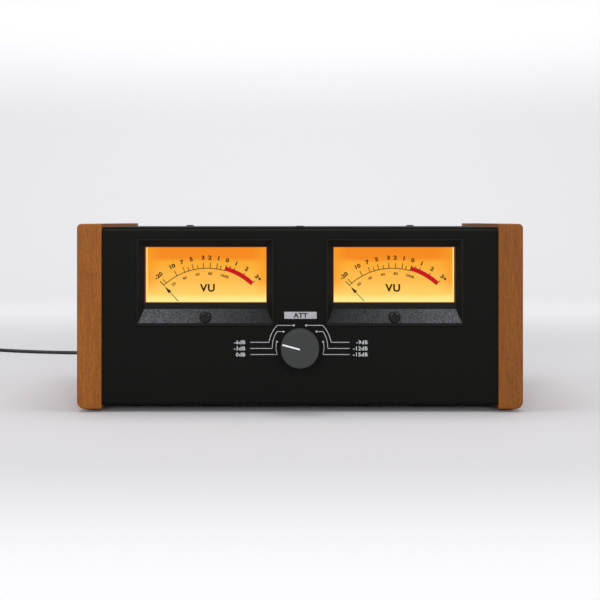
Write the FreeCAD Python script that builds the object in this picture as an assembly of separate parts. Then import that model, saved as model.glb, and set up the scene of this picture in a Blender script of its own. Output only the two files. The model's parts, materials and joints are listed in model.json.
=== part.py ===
import FreeCAD, Part
import math
import os

# A stereo VU meter console. Lengths are in millimetres, +X is to the viewer's right, +Y goes back and +Z is up.
# Every piece is drawn with y = 0 on the outer face of the front panel and z = 0 on the table. On writing, all
# pieces move forward together, so that the middle of the console's depth comes to y = 0.

# Wooden side panels
side_thickness = 16.0
side_depth = 160.0
side_lead = 1.2
side_top = 122.4
side_top_radius = 3.0
side_bottom_radius = 5.0
side_easing = 1.2
pad_height = 2.0
pad_radius = 6.0
pad_inset = 16.0

# Sheet metal housing
housing_width = 258.0
housing_base = 4.3
cover_top = 120.2
panel_sheet = 1.6
shell_sheet = 1.2
side_gap = 0.2
panel_bend = 2.4
shell_bend = 2.0
front_flange = 15.0
wall_flange = 9.0
rear_flange = 10.0
cover_setback = 2.6
rear_inset = 10.0
seam = 0.4

# Screws that hold the housing together
cover_screw_head = 3.1
cover_screw_rise = 0.9
cover_screw_shank = 1.5
cover_screw_length = 7.0
cover_screw_y = 8.6
side_screw_shank = 1.75
side_screw_head = 3.4
side_screw_length = 13.0
side_screw_inset = 26.0
side_screw_low = 26.0
side_screw_drop = 18.9
screw_clearance = 0.15

# Meters: cut-outs, front frames and panes
meter_offset = 61.6
cutout_width = 90.0
cutout_height = 57.2
cutout_drop = 7.4
cutout_radius = 1.0
frame_gap = 0.2
frame_proud = 0.5
rim_side = 1.3
rim_top = 0.95
rim_base = 2.3
funnel_depth = 3.7
flank_width = 4.8
sill_height = 8.85
recess_height = 40.75
window_inset = 0.6
window_rise = 4.35
window_height = 36.0
lip = 1.0
pane_thickness = 1.4
pane_border = 1.3
pane_gap = 0.15
sill_wall = 1.6
ear_reach = 4.5
ear_rise = 3.0
ear_thickness = 2.3
ear_gap = 0.1
stud_radius = 1.25
stud_side = 2.1
stud_inset = 2.8
nut_flats = 4.4
nut_height = 2.0

# Meters: case, light box, lamps and dial
case_inset = 2.0
case_drop = 22.6
case_height = 78.0
case_wall = 1.8
case_back = 43.5
light_wall = 0.8
light_shelf_depth = 5.1
lamp_radius = 1.9
lamp_height = 6.0
lamp_gap = 0.15
lamp_offset = 26.0
lamp_rise = 4.9
lamp_board_sheet = 1.2
lamp_board_rise = 2.6
lamp_board_height = 11.2
lamp_board_notch = 8.0
dial_depth = 15.7
dial_sheet = 0.8
dial_rise = 6.4
dial_margin = 0.4
post_radius = 2.2
post_inset = 7.4
post_rise = 10.4
post_spacing = 38.2
dial_screw_head = 1.6
dial_screw_head_height = 0.8
dial_screw_shank = 0.8
dial_screw_length = 5.0
terminal_radius = 1.5
terminal_offset = 8.0
terminal_rise = 42.4
terminal_length = 9.0

# Meters: movement
pivot_drop = 5.2
rest_angle = 42.8
yoke_radius = 15.0
yoke_bore = 8.2
yoke_front = 19.0
yoke_length = 12.0
core_radius = 6.0
core_end_gap = 0.5
core_key_half_angle = 16.0
core_key_length = 5.0
coil_reach = 7.5
coil_wall = 0.9
coil_width = 3.0
coil_front = 17.7
arbor_radius = 0.5
arbor_front = 12.1
bearing_clearance = 0.06
cup_depth = 0.65
jewel_radius = 1.2
jewel_slot = 0.4
jewel_head = 0.5
bridge_front = 11.0
bridge_sheet = 1.4
bridge_height = 4.6
pillar_offset = 12.6
pillar_radius = 1.6
seat_bore = 11.5
seat_slot = 4.4

# Meters: pointer
pointer_depth = 13.9
pointer_sheet = 0.3
pointer_boss = 1.8
pointer_boss_height = 0.8
pointer_root_width = 0.8
pointer_neck_width = 0.36
pointer_tip_width = 0.2
arrow_start = 36.2
arrow_end = 40.8
arrow_width = 2.3
pointer_length = 45.4
tail_length = 8.0
balance_radius = 1.05
balance_height = 1.0

# Meters: hairspring and zero adjustment
hair_turns = 3
hair_inner = 0.75
hair_pitch = 1.1
hair_sheet = 0.15
hair_width = 0.4
hair_front = 12.85
zero_screw_rise = 6.0
zero_head_radius = 3.5
zero_head_front = -1.3
zero_head_back = 2.3
zero_dome = 0.9
zero_slot = 0.9
zero_slot_depth = 0.9
zero_pocket_gap = 0.35
zero_shank = 1.9
zero_fit = 0.05
zero_shank_back = 8.4
zero_boss = 5.2
zero_pin = 0.5
zero_pin_offset = 1.0
zero_pin_back = 11.2
zero_lever_front = 9.7
zero_lever_sheet = 0.6
zero_lever_ring = 3.0
zero_lever_bore_fit = 0.1
zero_fork_width = 3.6
zero_fork_gap = 0.1
zero_fork_end = 1.6
hair_tab_gap = 0.12
hair_tab_width = 1.0

# Attenuator: knob and rotary switch
knob_height = 14.0
knob_gap = 0.8
knob_radius = 12.4
knob_draft = 0.2
knob_edge = 0.9
knob_recess = 8.6
knob_recess_depth = 3.4
knob_axis_height = 42.3
knob_bore_depth = 11.4
knob_line_width = 1.1
knob_line_depth = 0.3
knob_line_angle = 165.0
shaft_radius = 3.0
shaft_fit = 0.05
shaft_flat = 1.2
bush_radius = 4.5
bush_front = 3.4
bush_hole_gap = 0.2
switch_nut_flats = 12.0
switch_nut_height = 2.0
switch_washer_radius = 7.0
switch_washer_sheet = 0.5
switch_plate_radius = 13.0
switch_plate_sheet = 2.4
index_radius = 12.0
index_length = 6.0
wafer_radius = 13.4
wafer_sheet = 1.6
wafer_gap = 3.4
wafer_lugs = 12
rotor_radius = 5.0
rotor_thickness = 2.2
spacer_radius = 1.6
spacer_offset = 9.6

# Driver board
board_half_width = 92.0
board_front = 60.0
board_back = 134.0
board_sheet = 1.6
board_standoff = 9.0
standoff_flats = 5.5
board_screw_head = 2.6
board_screw_shank = 1.5
board_screw_rise = 1.4
board_hole_inset = 5.0
capacitor_radius = 5.0
capacitor_height = 16.0
capacitor_outer_x = 70.0
capacitor_spacing = 16.0
capacitor_front = 22.0
large_capacitor_radius = 8.0
large_capacitor_height = 25.0
large_capacitor_outer_x = 74.0
large_capacitor_spacing = 20.0
large_capacitor_back = 16.0
can_edge = 0.6
chip_width = 9.8
chip_depth = 6.4
chip_height = 3.4
channel_offset = 28.0
chip_front = 28.0
header_width = 16.0
header_depth = 6.0
header_height = 8.0
header_inset = 3.0
heat_sink_width = 22.0
heat_sink_height = 25.0
heat_sink_fin = 1.4
heat_sink_depth = 11.0
heat_sink_plate = 2.0
heat_sink_fins = 5
heat_sink_back = 9.0
trimmer_size = 9.5
trimmer_depth = 5.0
trimmer_front = 44.0
trimmer_screw = 1.2
trimmer_screw_inset = 2.25

# Rear sockets and switch
phono_radius = 4.15
phono_length = 9.4
phono_edge = 0.4
phono_bore = 1.65
phono_bore_depth = 9.0
phono_flange = 6.4
phono_flange_sheet = 1.6
phono_thread = 3.6
phono_inner_length = 12.0
phono_hole_gap = 0.15
phono_nut_flats = 10.5
phono_nut_height = 2.4
phono_columns = (24.0, 46.0)
phono_rows = (40.0, 62.0)
jack_x = -100.0
jack_z = 24.0
jack_flange = 6.8
jack_flange_sheet = 1.4
jack_barrel = 5.4
jack_length = 15.0
jack_bore = 2.85
jack_bore_depth = 9.8
jack_pin = 1.0
jack_pin_inset = 1.5
jack_edge = 0.5
jack_nut_flats = 14.0
jack_nut_height = 2.5
jack_hole_gap = 0.15
rocker_x = 100.0
rocker_z = 28.0
rocker_frame_width = 21.0
rocker_frame_height = 15.0
rocker_frame_sheet = 2.0
rocker_body_width = 18.8
rocker_body_height = 12.8
rocker_body_length = 14.0
rocker_throw = 10.0
rocker_half_length = 7.6
rocker_half_height = 4.6
rocker_gap = 0.3
rocker_rise = 5.2
rocker_dip = 1.3
rocker_pin = 1.0
rocker_pin_fit = 0.06
rocker_axis_inset = 0.6

# Lead and power adapter
lead_diameter = 3.0
lead_sides = 8
plug_barrel = 2.75
plug_barrel_bore = 1.1
plug_barrel_length = 9.2
plug_body = 4.8
plug_body_length = 20.0
plug_gap = 0.2
plug_relief_length = 12.0
relief_tip = 1.8
lead_points = (
    (-100.0, 203.0, 24.0),
    (-101.0, 226.0, 18.0),
    (-104.5, 248.0, 9.0),
    (-111.5, 269.0, 2.6),
    (-125.5, 287.0, 1.5),
    (-147.0, 298.0, 1.5),
    (-173.0, 301.5, 1.5),
    (-205.0, 302.5, 1.5),
    (-241.0, 308.0, 1.5),
    (-276.0, 319.0, 1.5),
    (-302.0, 333.0, 1.5),
)
coil_x = -321.0
coil_entry_y = 333.0
coil_outer = 22.8
coil_layers = 4
coil_half_turns = 5
coil_pitch = 4.1
coil_layer_pitch = 3.55
adapter_width = 38.0
adapter_length = 58.0
adapter_height = 27.0
adapter_edge = 4.0
adapter_relief_length = 22.0
adapter_relief_root = 2.9
blade_width = 6.3
blade_sheet = 1.5
blade_length = 17.0
blade_spacing = 12.7

# Places worked out from the sizes above
side_back = side_depth - side_lead
knob_front = -(knob_gap + knob_height)
panel_face_y = -(side_back + knob_front) / 2
panel_half = housing_width / 2 - side_gap
tray_floor = housing_base + panel_sheet
tray_top = tray_floor + shell_sheet
cover_base = cover_top - shell_sheet
rear_face = side_back - rear_inset
rear_inner = rear_face - shell_sheet
cutout_top = cover_top - cutout_drop
cutout_base = cutout_top - cutout_height
side_screw_high = cover_base - side_screw_drop
case_half_width = cutout_width / 2 - case_inset
recess_half_width = cutout_width / 2 - flank_width
window_half_width = recess_half_width - window_inset
sill_base = cutout_base + rim_base
recess_base = sill_base + sill_height
recess_top = recess_base + recess_height
window_base = recess_base + window_rise
window_top = window_base + window_height
case_base = cutout_base - case_drop
case_top = case_base + case_height
lamp_base = cutout_base + lamp_rise
lamp_board_base = cutout_base + lamp_board_rise
lamp_board_top = lamp_board_base + lamp_board_height
dial_base = cutout_base + dial_rise
post_side = case_half_width - post_inset
post_low = cutout_base + post_rise
post_high = post_low + post_spacing
terminal_height = cutout_base + terminal_rise
pivot_height = cutout_base - pivot_drop
zero_screw_height = cutout_base + zero_screw_rise
zero_fork_reach = zero_screw_height - zero_pin_offset - pivot_height + zero_pin + zero_fork_end
frame_front = -frame_proud
ear_back = panel_sheet + ear_gap + ear_thickness
recess_front = frame_front + funnel_depth
pane_front = recess_front + lip
case_front = pane_front + pane_thickness
light_front = case_front + case_wall
dial_back = dial_depth + dial_sheet
post_base = case_back - case_wall
yoke_back = yoke_front + yoke_length
coil_back = coil_front + 2 * (yoke_front - coil_front) + yoke_length
bridge_back = bridge_front + bridge_sheet
arbor_back = coil_front + coil_back - arbor_front
switch_back = panel_sheet + switch_plate_sheet + index_length
wafer_front = switch_back + wafer_gap
board_base = tray_top + board_standoff
board_top = board_base + board_sheet
plug_start = rear_face + jack_flange_sheet + plug_gap
plug_end = plug_start + plug_body_length + plug_relief_length


def vec(x, y, z):
    return FreeCAD.Vector(x, y, z)


def block(x, y, z):
    return Part.makeBox(x[1] - x[0], y[1] - y[0], z[1] - z[0], vec(x[0], y[0], z[0]))


def rod(x, z, radius, y_start, y_end):
    """A cylinder along Y."""
    return Part.makeCylinder(radius, y_end - y_start, vec(x, y_start, z), vec(0, 1, 0))


def cone(x, z, first_radius, last_radius, y_start, y_end):
    """A tapered cylinder along Y."""
    return Part.makeCone(first_radius, last_radius, y_end - y_start, vec(x, y_start, z), vec(0, 1, 0))


def hexagon(centre, flats, height, axis):
    """A hexagonal prism that starts at centre and runs along axis."""
    corner = flats / math.sqrt(3)
    turns = [math.radians(60 * i) for i in range(7)]
    if axis.y:
        points = [centre + vec(corner * math.cos(a), 0, corner * math.sin(a)) for a in turns]
    else:
        points = [centre + vec(corner * math.cos(a), corner * math.sin(a), 0) for a in turns]
    return Part.Face(Part.makePolygon(points)).extrude(axis * height)


def runs_along(edge, axis):
    """Whether an edge is straight and runs along axis."""
    start, end = edge.firstVertex().Point, edge.lastVertex().Point
    length = (end - start).Length
    return edge.Curve.TypeId == "Part::GeomLine" and abs((end - start).dot(axis)) > 0.999 * length


def eased(shape, radius, chosen):
    """The shape with the chosen edges rounded."""
    return shape.makeFillet(radius, [edge for edge in shape.Edges if chosen(edge)])


def prism(points, travel):
    """A closed outline of points, pushed along travel."""
    return Part.Face(Part.makePolygon([*points, points[0]])).extrude(travel)


def channel(x, profile, corners, inner_corners, radius, sheet):
    """A bent sheet along X from its (y, z) profile, rounded at its outer and inner corners."""
    bar = prism([vec(x[0], y, z) for y, z in profile], vec(x[1] - x[0], 0, 0))

    def at(places):
        def chosen(edge):
            middle = edge.CenterOfMass
            near = [abs(middle.y - y) + abs(middle.z - z) < 1e-6 for y, z in places]
            return runs_along(edge, vec(1, 0, 0)) and any(near)

        return chosen

    bar = eased(bar, radius, at(corners))
    return eased(bar, max(radius - sheet, 0.2), at(inner_corners))


def write(name, *solids):
    """Moves a piece to its place about the console's middle and writes it."""
    shape = solids[0] if len(solids) == 1 else Part.makeCompound(list(solids))
    shape = shape.translated(vec(0, panel_face_y, 0))
    shape.exportStep("parts/" + name + ".step")


def both_sides():
    return (("left", -1), ("right", 1))


def screw_places():
    """The (y, z) places of the screws in each side wall."""
    far = rear_inner - side_screw_inset
    return [(y, z) for y in (side_screw_inset, far) for z in (side_screw_low, side_screw_high)]


def cover_screw_places():
    """The (x, y) places of the screws in the top cover."""
    rear_y = rear_inner - rear_flange / 2
    return [(0.0, cover_screw_y), (-housing_width / 3, rear_y), (housing_width / 3, rear_y)]


def wood_side(direction):
    inner, outer = direction * housing_width / 2, direction * (housing_width / 2 + side_thickness)
    board = block(
        (min(inner, outer), max(inner, outer)),
        (-side_lead, side_back),
        (pad_height, side_top),
    )

    def outer_edge_at(height):
        def chosen(edge):
            middle = edge.CenterOfMass
            along = runs_along(edge, vec(0, 1, 0))
            return along and abs(middle.x - outer) < 1e-6 and abs(middle.z - height) < 1e-6

        return chosen

    def front_or_back(edge):
        return edge.BoundBox.YLength < 1e-6 and abs(edge.CenterOfMass.x - inner) > 1e-6

    board = eased(board, side_top_radius, outer_edge_at(side_top))
    board = eased(board, side_bottom_radius, outer_edge_at(pad_height))
    board = eased(board, side_easing, front_or_back)
    for y, z in screw_places():
        pilot = Part.makeCylinder(
            side_screw_shank + 0.01,
            side_screw_length - shell_sheet + screw_clearance,
            vec(inner, y, z),
            vec(direction, 0, 0),
        )
        board = board.cut(pilot)
    return board


def foot_pads():
    pads = []
    for direction in (-1, 1):
        for y in (pad_inset - side_lead, side_back - pad_inset):
            centre = vec(direction * (housing_width + side_thickness) / 2, y, 0)
            pads.append(Part.makeCylinder(pad_radius, pad_height, centre))
    return pads


def front_panel():
    sheet, base, top = panel_sheet, housing_base, cover_base
    profile = [
        (0, base),
        (front_flange, base),
        (front_flange, base + sheet),
        (sheet, base + sheet),
        (sheet, top - sheet),
        (front_flange, top - sheet),
        (front_flange, top),
        (0, top),
    ]
    outer = [(0, base), (0, top)]
    inner = [(sheet, base + sheet), (sheet, top - sheet)]
    panel = channel((-panel_half, panel_half), profile, outer, inner, panel_bend, sheet)
    for side, direction in both_sides():
        centre = direction * meter_offset
        hole = block(
            (centre - cutout_width / 2, centre + cutout_width / 2),
            (-1, sheet + 1),
            (cutout_base, cutout_top),
        )
        hole = eased(hole, cutout_radius, lambda edge: runs_along(edge, vec(0, 1, 0)))
        panel = panel.cut(hole)
        for x, z in stud_places(centre):
            panel = panel.fuse(rod(x, z, stud_radius, sheet / 2, sheet + ear_thickness + nut_height + 1))
    panel = panel.cut(rod(0, knob_axis_height, bush_radius + bush_hole_gap, -1, sheet + 1))
    x, y = cover_screw_places()[0]
    hole = Part.makeCylinder(cover_screw_shank + screw_clearance, 3 * sheet, vec(x, y, top - 2 * sheet))
    return panel.cut(hole)


def bottom_tray():
    """The floor and the two side walls, whose tops turn inwards under the cover."""
    half, front, back = panel_half, panel_bend + seam, rear_face
    tray = block((-half, half), (front, back), (tray_floor, cover_base))
    space = block((-half + shell_sheet, half - shell_sheet), (front - 1, back + 1), (tray_top, cover_base + 1))
    tray = tray.cut(space)

    def along_wall(edge):
        middle = edge.CenterOfMass
        low = abs(middle.z - tray_floor) < 1e-6
        return runs_along(edge, vec(0, 1, 0)) and low and abs(abs(middle.x) - half) < 1e-6

    tray = eased(tray, shell_bend, along_wall)
    for direction in (-1, 1):
        edge_x, inner_x = direction * (half - shell_sheet), direction * (half - wall_flange)
        flange = block(
            (min(edge_x, inner_x), max(edge_x, inner_x)),
            (front_flange + seam, rear_inner - rear_flange - seam),
            (cover_base - shell_sheet, cover_base),
        )
        notch = block(
            (direction * half - 3, direction * half + 3),
            (front - 1, front_flange + seam),
            (cover_base - panel_sheet - seam, cover_base + 1),
        )
        tray = tray.fuse(flange).cut(notch)
        for y, z in screw_places():
            start = vec(direction * (half - 3 * shell_sheet), y, z)
            radius = side_screw_shank + screw_clearance
            tray = tray.cut(Part.makeCylinder(radius, 6 * shell_sheet, start, vec(direction, 0, 0)))
    for x, y in board_hole_places():
        hole = Part.makeCylinder(board_screw_shank, 4 * shell_sheet, vec(x, y, tray_floor - shell_sheet))
        tray = tray.cut(hole)
    return tray.removeSplitter()


def rear_panel():
    sheet, base, top = shell_sheet, tray_top, cover_base
    near = rear_inner - rear_flange
    profile = [
        (rear_face, base),
        (rear_face, top),
        (near, top),
        (near, top - sheet),
        (rear_inner, top - sheet),
        (rear_inner, base + sheet),
        (near, base + sheet),
        (near, base),
    ]
    outer = [(rear_face, base), (rear_face, top)]
    inner = [(rear_inner, base + sheet), (rear_inner, top - sheet)]
    half = panel_half - shell_sheet - seam
    panel = channel((-half, half), profile, outer, inner, shell_bend, sheet)
    for x in phono_columns:
        for z in phono_rows:
            panel = panel.cut(rod(x, z, phono_thread + phono_hole_gap, rear_inner - 1, rear_face + 1))
    panel = panel.cut(rod(jack_x, jack_z, jack_barrel + jack_hole_gap, rear_inner - 1, rear_face + 1))
    hole = block(
        (rocker_x - rocker_body_width / 2 - 0.1, rocker_x + rocker_body_width / 2 + 0.1),
        (rear_inner - 1, rear_face + 1),
        (rocker_z - rocker_body_height / 2 - 0.1, rocker_z + rocker_body_height / 2 + 0.1),
    )
    panel = panel.cut(hole)
    for x, y in cover_screw_places()[1:]:
        start = vec(x, y, top - 2 * sheet)
        panel = panel.cut(Part.makeCylinder(cover_screw_shank + screw_clearance, 3 * sheet, start))
    return panel


def top_cover():
    half = panel_half
    cover = block((-half, half), (cover_setback, rear_face), (cover_base, cover_top))
    cover = eased(
        cover,
        0.4,
        lambda edge: runs_along(edge, vec(1, 0, 0)) and abs(edge.CenterOfMass.z - cover_top) < 1e-6,
    )
    for x, y in cover_screw_places():
        start = vec(x, y, cover_base - shell_sheet)
        cover = cover.cut(Part.makeCylinder(cover_screw_shank + screw_clearance, 4 * shell_sheet, start))
    return cover


def cover_screws():
    screws = []
    for x, y in cover_screw_places():
        head = Part.makeCylinder(cover_screw_head, cover_screw_rise / 2, vec(x, y, cover_top))
        crown = vec(x, y, cover_top + cover_screw_rise / 2)
        head = head.fuse(Part.makeCone(cover_screw_head, cover_screw_head - cover_screw_rise, cover_screw_rise / 2, crown))
        start = vec(x, y, cover_top - cover_screw_length)
        shank = Part.makeCylinder(cover_screw_shank, cover_screw_length, start)
        socket = hexagon(vec(x, y, cover_top + cover_screw_rise / 3), 2.0, cover_screw_rise, vec(0, 0, 1))
        screws.append(head.fuse(shank).cut(socket))
    return screws


def side_screws():
    """Round-head screws that come through the tray's walls into the wood."""
    screws = []
    for direction in (-1, 1):
        seat = direction * (panel_half - shell_sheet)
        for y, z in screw_places():
            out = vec(direction, 0, 0)
            shank = Part.makeCylinder(side_screw_shank, side_screw_length, vec(seat, y, z), out)
            head = Part.makeCone(side_screw_head, 0.6 * side_screw_head, 1.8, vec(seat, y, z), out * -1)
            screws.append(shank.fuse(head))
    return screws


def stud_places(centre):
    """The (x, z) places of the four studs about a meter's cut-out."""
    return [
        (centre + direction * (cutout_width / 2 + stud_side), z)
        for direction in (-1, 1)
        for z in (cutout_base + stud_inset, cutout_top - stud_inset)
    ]


def rectangle(centre, half_width, base, top, y):
    points = [
        vec(centre - half_width, y, base),
        vec(centre + half_width, y, base),
        vec(centre + half_width, y, top),
        vec(centre - half_width, y, top),
    ]
    return Part.makePolygon([*points, points[0]])


def front_frame(centre):
    """The moulded front: a rim, four sloping flanks down to a flat recess, the sill being the widest, and ears."""
    half = cutout_width / 2 - frame_gap
    base, top = cutout_base + frame_gap, cutout_top - frame_gap
    body = block((centre - half, centre + half), (frame_front, ear_back), (base, top))
    body = eased(body, cutout_radius, lambda edge: runs_along(edge, vec(0, 1, 0)))
    body = eased(
        body,
        0.35,
        lambda edge: edge.BoundBox.YLength < 1e-6 and abs(edge.CenterOfMass.y - frame_front) < 1e-6,
    )
    ear_half = half + ear_reach
    ears = block(
        (centre - ear_half, centre + ear_half),
        (ear_back - ear_thickness, ear_back),
        (base - ear_rise, top + ear_rise),
    )
    ears = eased(ears, 2.5, lambda edge: runs_along(edge, vec(0, 1, 0)))
    back = block(
        (centre - case_half_width, centre + case_half_width),
        (pane_front - lip, case_front),
        (base + frame_gap, case_top),
    )
    body = body.fuse(ears).fuse(back)
    boss = rod(centre, zero_screw_height, zero_boss, pane_front - lip, case_front)
    rim = (half - rim_side + frame_gap, sill_base, cutout_top - rim_top)
    recess = (recess_half_width, recess_base, recess_top)
    funnel = Part.makeLoft(
        [rectangle(centre, *rim, frame_front), rectangle(centre, *recess, recess_front)], True, True
    )
    body = body.cut(funnel)
    window = block(
        (centre - window_half_width, centre + window_half_width),
        (frame_front, case_front + 1),
        (window_base, window_top),
    )
    body = body.cut(window)
    pocket = block(
        (centre - window_half_width - pane_border, centre + window_half_width + pane_border),
        (pane_front, case_front + 1),
        (window_base - pane_border, window_top + pane_border),
    )
    body = body.cut(pocket)
    slope = funnel_depth / (sill_height)
    hollow_base = sill_base + 1.0
    hollow_top = window_base - pane_border - sill_wall
    hollow_front = frame_front + sill_wall * math.sqrt(1 + slope**2)
    reach = hollow_front + slope * (hollow_base - sill_base)
    level = recess_front + lip
    level_height = hollow_base + (level - reach) / slope
    hollow = prism(
        [
            vec(centre - recess_half_width, reach, hollow_base),
            vec(centre - recess_half_width, case_front + 1, hollow_base),
            vec(centre - recess_half_width, case_front + 1, hollow_top),
            vec(centre - recess_half_width, level, hollow_top),
            vec(centre - recess_half_width, level, min(level_height, hollow_top - 0.1)),
        ],
        vec(2 * recess_half_width, 0, 0),
    )
    body = body.cut(hollow).fuse(boss)
    body = body.cut(pocket)
    seat = rod(centre, zero_screw_height, zero_head_radius + zero_pocket_gap, frame_front - 1, zero_head_back)
    bore = rod(centre, zero_screw_height, zero_shank + zero_fit, frame_front - 1, case_front + 1)
    body = body.cut(seat).cut(bore)
    for x, z in stud_places(centre):
        body = body.cut(rod(x, z, stud_radius + screw_clearance, 0, case_front))
    return body


def meter_nuts():
    start = ear_back
    nuts = []
    for side, direction in both_sides():
        for x, z in stud_places(direction * meter_offset):
            nut = hexagon(vec(x, start, z), nut_flats, nut_height, vec(0, 1, 0))
            nuts.append(nut.cut(rod(x, z, stud_radius + 0.02, start - 1, start + nut_height + 1)))
    return nuts


def window_pane(centre):
    border = pane_border - pane_gap
    return block(
        (centre - window_half_width - border, centre + window_half_width + border),
        (pane_front, case_front),
        (window_base - border, window_top + border),
    )


def meter_case(centre):
    half, wall = case_half_width, case_wall
    case = block((centre - half, centre + half), (case_front, case_back), (case_base, case_top))
    case = eased(case, 2.0, lambda edge: runs_along(edge, vec(0, 1, 0)))
    case = eased(
        case,
        1.5,
        lambda edge: edge.BoundBox.YLength < 1e-6 and abs(edge.CenterOfMass.y - case_back) < 1e-6,
    )
    space = block(
        (centre - half + wall, centre + half - wall),
        (light_front, post_base),
        (case_base + wall, case_top - wall),
    )
    opening = block(
        (centre - window_half_width, centre + window_half_width),
        (case_front - 1, light_front + 1),
        (lamp_board_base - 0.4, window_top),
    )
    case = case.cut(space).cut(opening)
    seat = rod(centre, pivot_height, yoke_radius, yoke_back, post_base + 0.1)
    seat = seat.cut(rod(centre, pivot_height, seat_bore, yoke_back - 1, post_base + 1))
    slot = block(
        (centre - 2 * yoke_radius, centre + 2 * yoke_radius),
        (yoke_back - 1, post_base),
        (pivot_height - seat_slot, pivot_height + seat_slot),
    )
    case = case.fuse(seat.cut(slot))
    for x, z in dial_post_places(centre):
        post = rod(x, z, post_radius, dial_back, post_base + 0.1)
        if z == post_low:
            post = post.cut(rod(x, z, dial_screw_shank + 0.03, dial_back - 1, dial_back + dial_screw_length))
        case = case.fuse(post)
    for direction in (-1, 1):
        x = centre + direction * terminal_offset
        case = case.cut(rod(x, terminal_height, terminal_radius + 0.05, post_base - 1, case_back + 1))
    return case


def dial_post_places(centre):
    return [(centre + direction * post_side, z) for direction in (-1, 1) for z in (post_low, post_high)]


def meter_terminals():
    """Threaded terminal studs with their nuts, on the cases' backs."""
    studs = []
    for side, direction in both_sides():
        for step in (-1, 1):
            x = direction * meter_offset + step * terminal_offset
            stud = rod(x, terminal_height, terminal_radius, post_base - 1.6, case_back + terminal_length)
            flange = rod(x, terminal_height, 2 * terminal_radius, post_base - 1.6, post_base)
            nut = hexagon(vec(x, case_back, terminal_height), 5.5, 2.4, vec(0, 1, 0))
            studs.append(stud.fuse(flange).fuse(nut))
    return studs


def light_box(centre):
    """The white liner between the case's front wall and the dial, with a shelf under the window."""
    half = window_half_width
    box = block(
        (centre - half - light_wall, centre + half + light_wall),
        (light_front, dial_depth),
        (window_base - light_wall, window_top + light_wall),
    )
    space = block(
        (centre - half, centre + half),
        (light_front - 1, dial_depth + 1),
        (window_base, window_top),
    )
    below = block(
        (centre - half, centre + half),
        (light_front + light_shelf_depth, dial_depth + 1),
        (window_base - light_wall - 1, window_top),
    )
    return box.cut(space).cut(below)


def lamp_board(centre):
    half = case_half_width - case_wall - 0.4
    board = block(
        (centre - half, centre + half),
        (light_front, light_front + lamp_board_sheet),
        (lamp_board_base, lamp_board_top),
    )
    notch = block(
        (centre - lamp_board_notch, centre + lamp_board_notch),
        (light_front - 1, light_front + lamp_board_sheet + 1),
        (lamp_board_base - 1, zero_screw_height + 4),
    )
    return board.cut(notch)


def lamps():
    """Round lamps that stand in front of the lower edge of each dial."""
    made = []
    y = light_front + lamp_board_sheet + lamp_gap + lamp_radius
    for side, direction in both_sides():
        for step in (-1, 1):
            x = direction * meter_offset + step * lamp_offset
            body = Part.makeCylinder(lamp_radius, lamp_height, vec(x, y, lamp_base))
            dome = Part.makeSphere(lamp_radius, vec(x, y, lamp_base + lamp_height))
            made.append(body.fuse(dome))
    return made


def dial(centre):
    half = case_half_width - case_wall - dial_margin
    plate = block(
        (centre - half, centre + half),
        (dial_depth, dial_back),
        (dial_base, case_top - case_wall - dial_margin),
    )
    for x, z in dial_post_places(centre):
        if z == post_low:
            plate = plate.cut(rod(x, z, dial_screw_shank + screw_clearance, dial_depth - 1, dial_back + 1))
    return plate


def dial_screws():
    screws = []
    for side, direction in both_sides():
        for x, z in dial_post_places(direction * meter_offset):
            if z == post_low:
                head = rod(x, z, dial_screw_head, dial_depth - dial_screw_head_height, dial_depth)
                shank = rod(x, z, dial_screw_shank, dial_depth, dial_back + dial_screw_length - 0.4)
                screws.append(head.fuse(shank))
    return screws


def yoke_ring(centre):
    ring = rod(centre, pivot_height, yoke_radius, yoke_front, yoke_back)
    return ring.cut(rod(centre, pivot_height, yoke_bore, yoke_front - 1, yoke_back + 1))


def magnet_core(centre):
    """A round magnet, held in the ring by a key above and one below, where the coil's sides don't pass."""
    core = rod(centre, pivot_height, core_radius, yoke_front + core_end_gap, yoke_back - core_end_gap)
    middle = (yoke_front + yoke_back) / 2
    gap = yoke_bore - 0.02
    key = rod(centre, pivot_height, gap, middle - core_key_length / 2, middle + core_key_length / 2)
    width = gap * math.sin(math.radians(core_key_half_angle))
    slot = block(
        (centre - width, centre + width),
        (yoke_front, yoke_back),
        (pivot_height - gap, pivot_height + gap),
    )
    return core.fuse(key.common(slot))


def bridges(centre):
    """A front and a rear bar, each on two pillars, that hold the jewel screws."""
    made = []
    middle = (yoke_front + yoke_back) / 2
    for front in (True, False):
        bar = block(
            (centre - pillar_offset - pillar_radius, centre + pillar_offset + pillar_radius),
            (bridge_front, bridge_back),
            (pivot_height - bridge_height / 2, pivot_height + bridge_height / 2),
        )
        bar = bar.cut(rod(centre, pivot_height, jewel_radius + 0.02, bridge_front - 1, bridge_back + 1))
        for direction in (-1, 1):
            x = centre + direction * pillar_offset
            bar = bar.fuse(rod(x, pivot_height, pillar_radius, bridge_back, yoke_front))
        made.append(bar if front else mirrored_depth(bar, middle))
    return made


def mirrored_depth(shape, middle):
    """The shape turned back to front about a plane across Y."""
    return shape.mirror(vec(0, middle, 0), vec(0, 1, 0))


def jewel_screws():
    """Slotted screws in the bridges, each with a cup that holds an end of an arbor."""
    middle = (yoke_front + yoke_back) / 2
    front, back = zero_lever_front - jewel_head, arbor_front + cup_depth
    made = []
    for side, direction in both_sides():
        x = direction * meter_offset
        screw = rod(x, pivot_height, jewel_radius, front, back)
        cup = rod(x, pivot_height, arbor_radius + bearing_clearance, arbor_front - bearing_clearance, back + 1)
        slot = block(
            (x - 2 * jewel_radius, x + 2 * jewel_radius),
            (front - 1, front + jewel_slot),
            (pivot_height - jewel_slot / 2, pivot_height + jewel_slot / 2),
        )
        screw = screw.cut(cup).cut(slot)
        made += [screw, mirrored_depth(screw, middle)]
    return made


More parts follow.
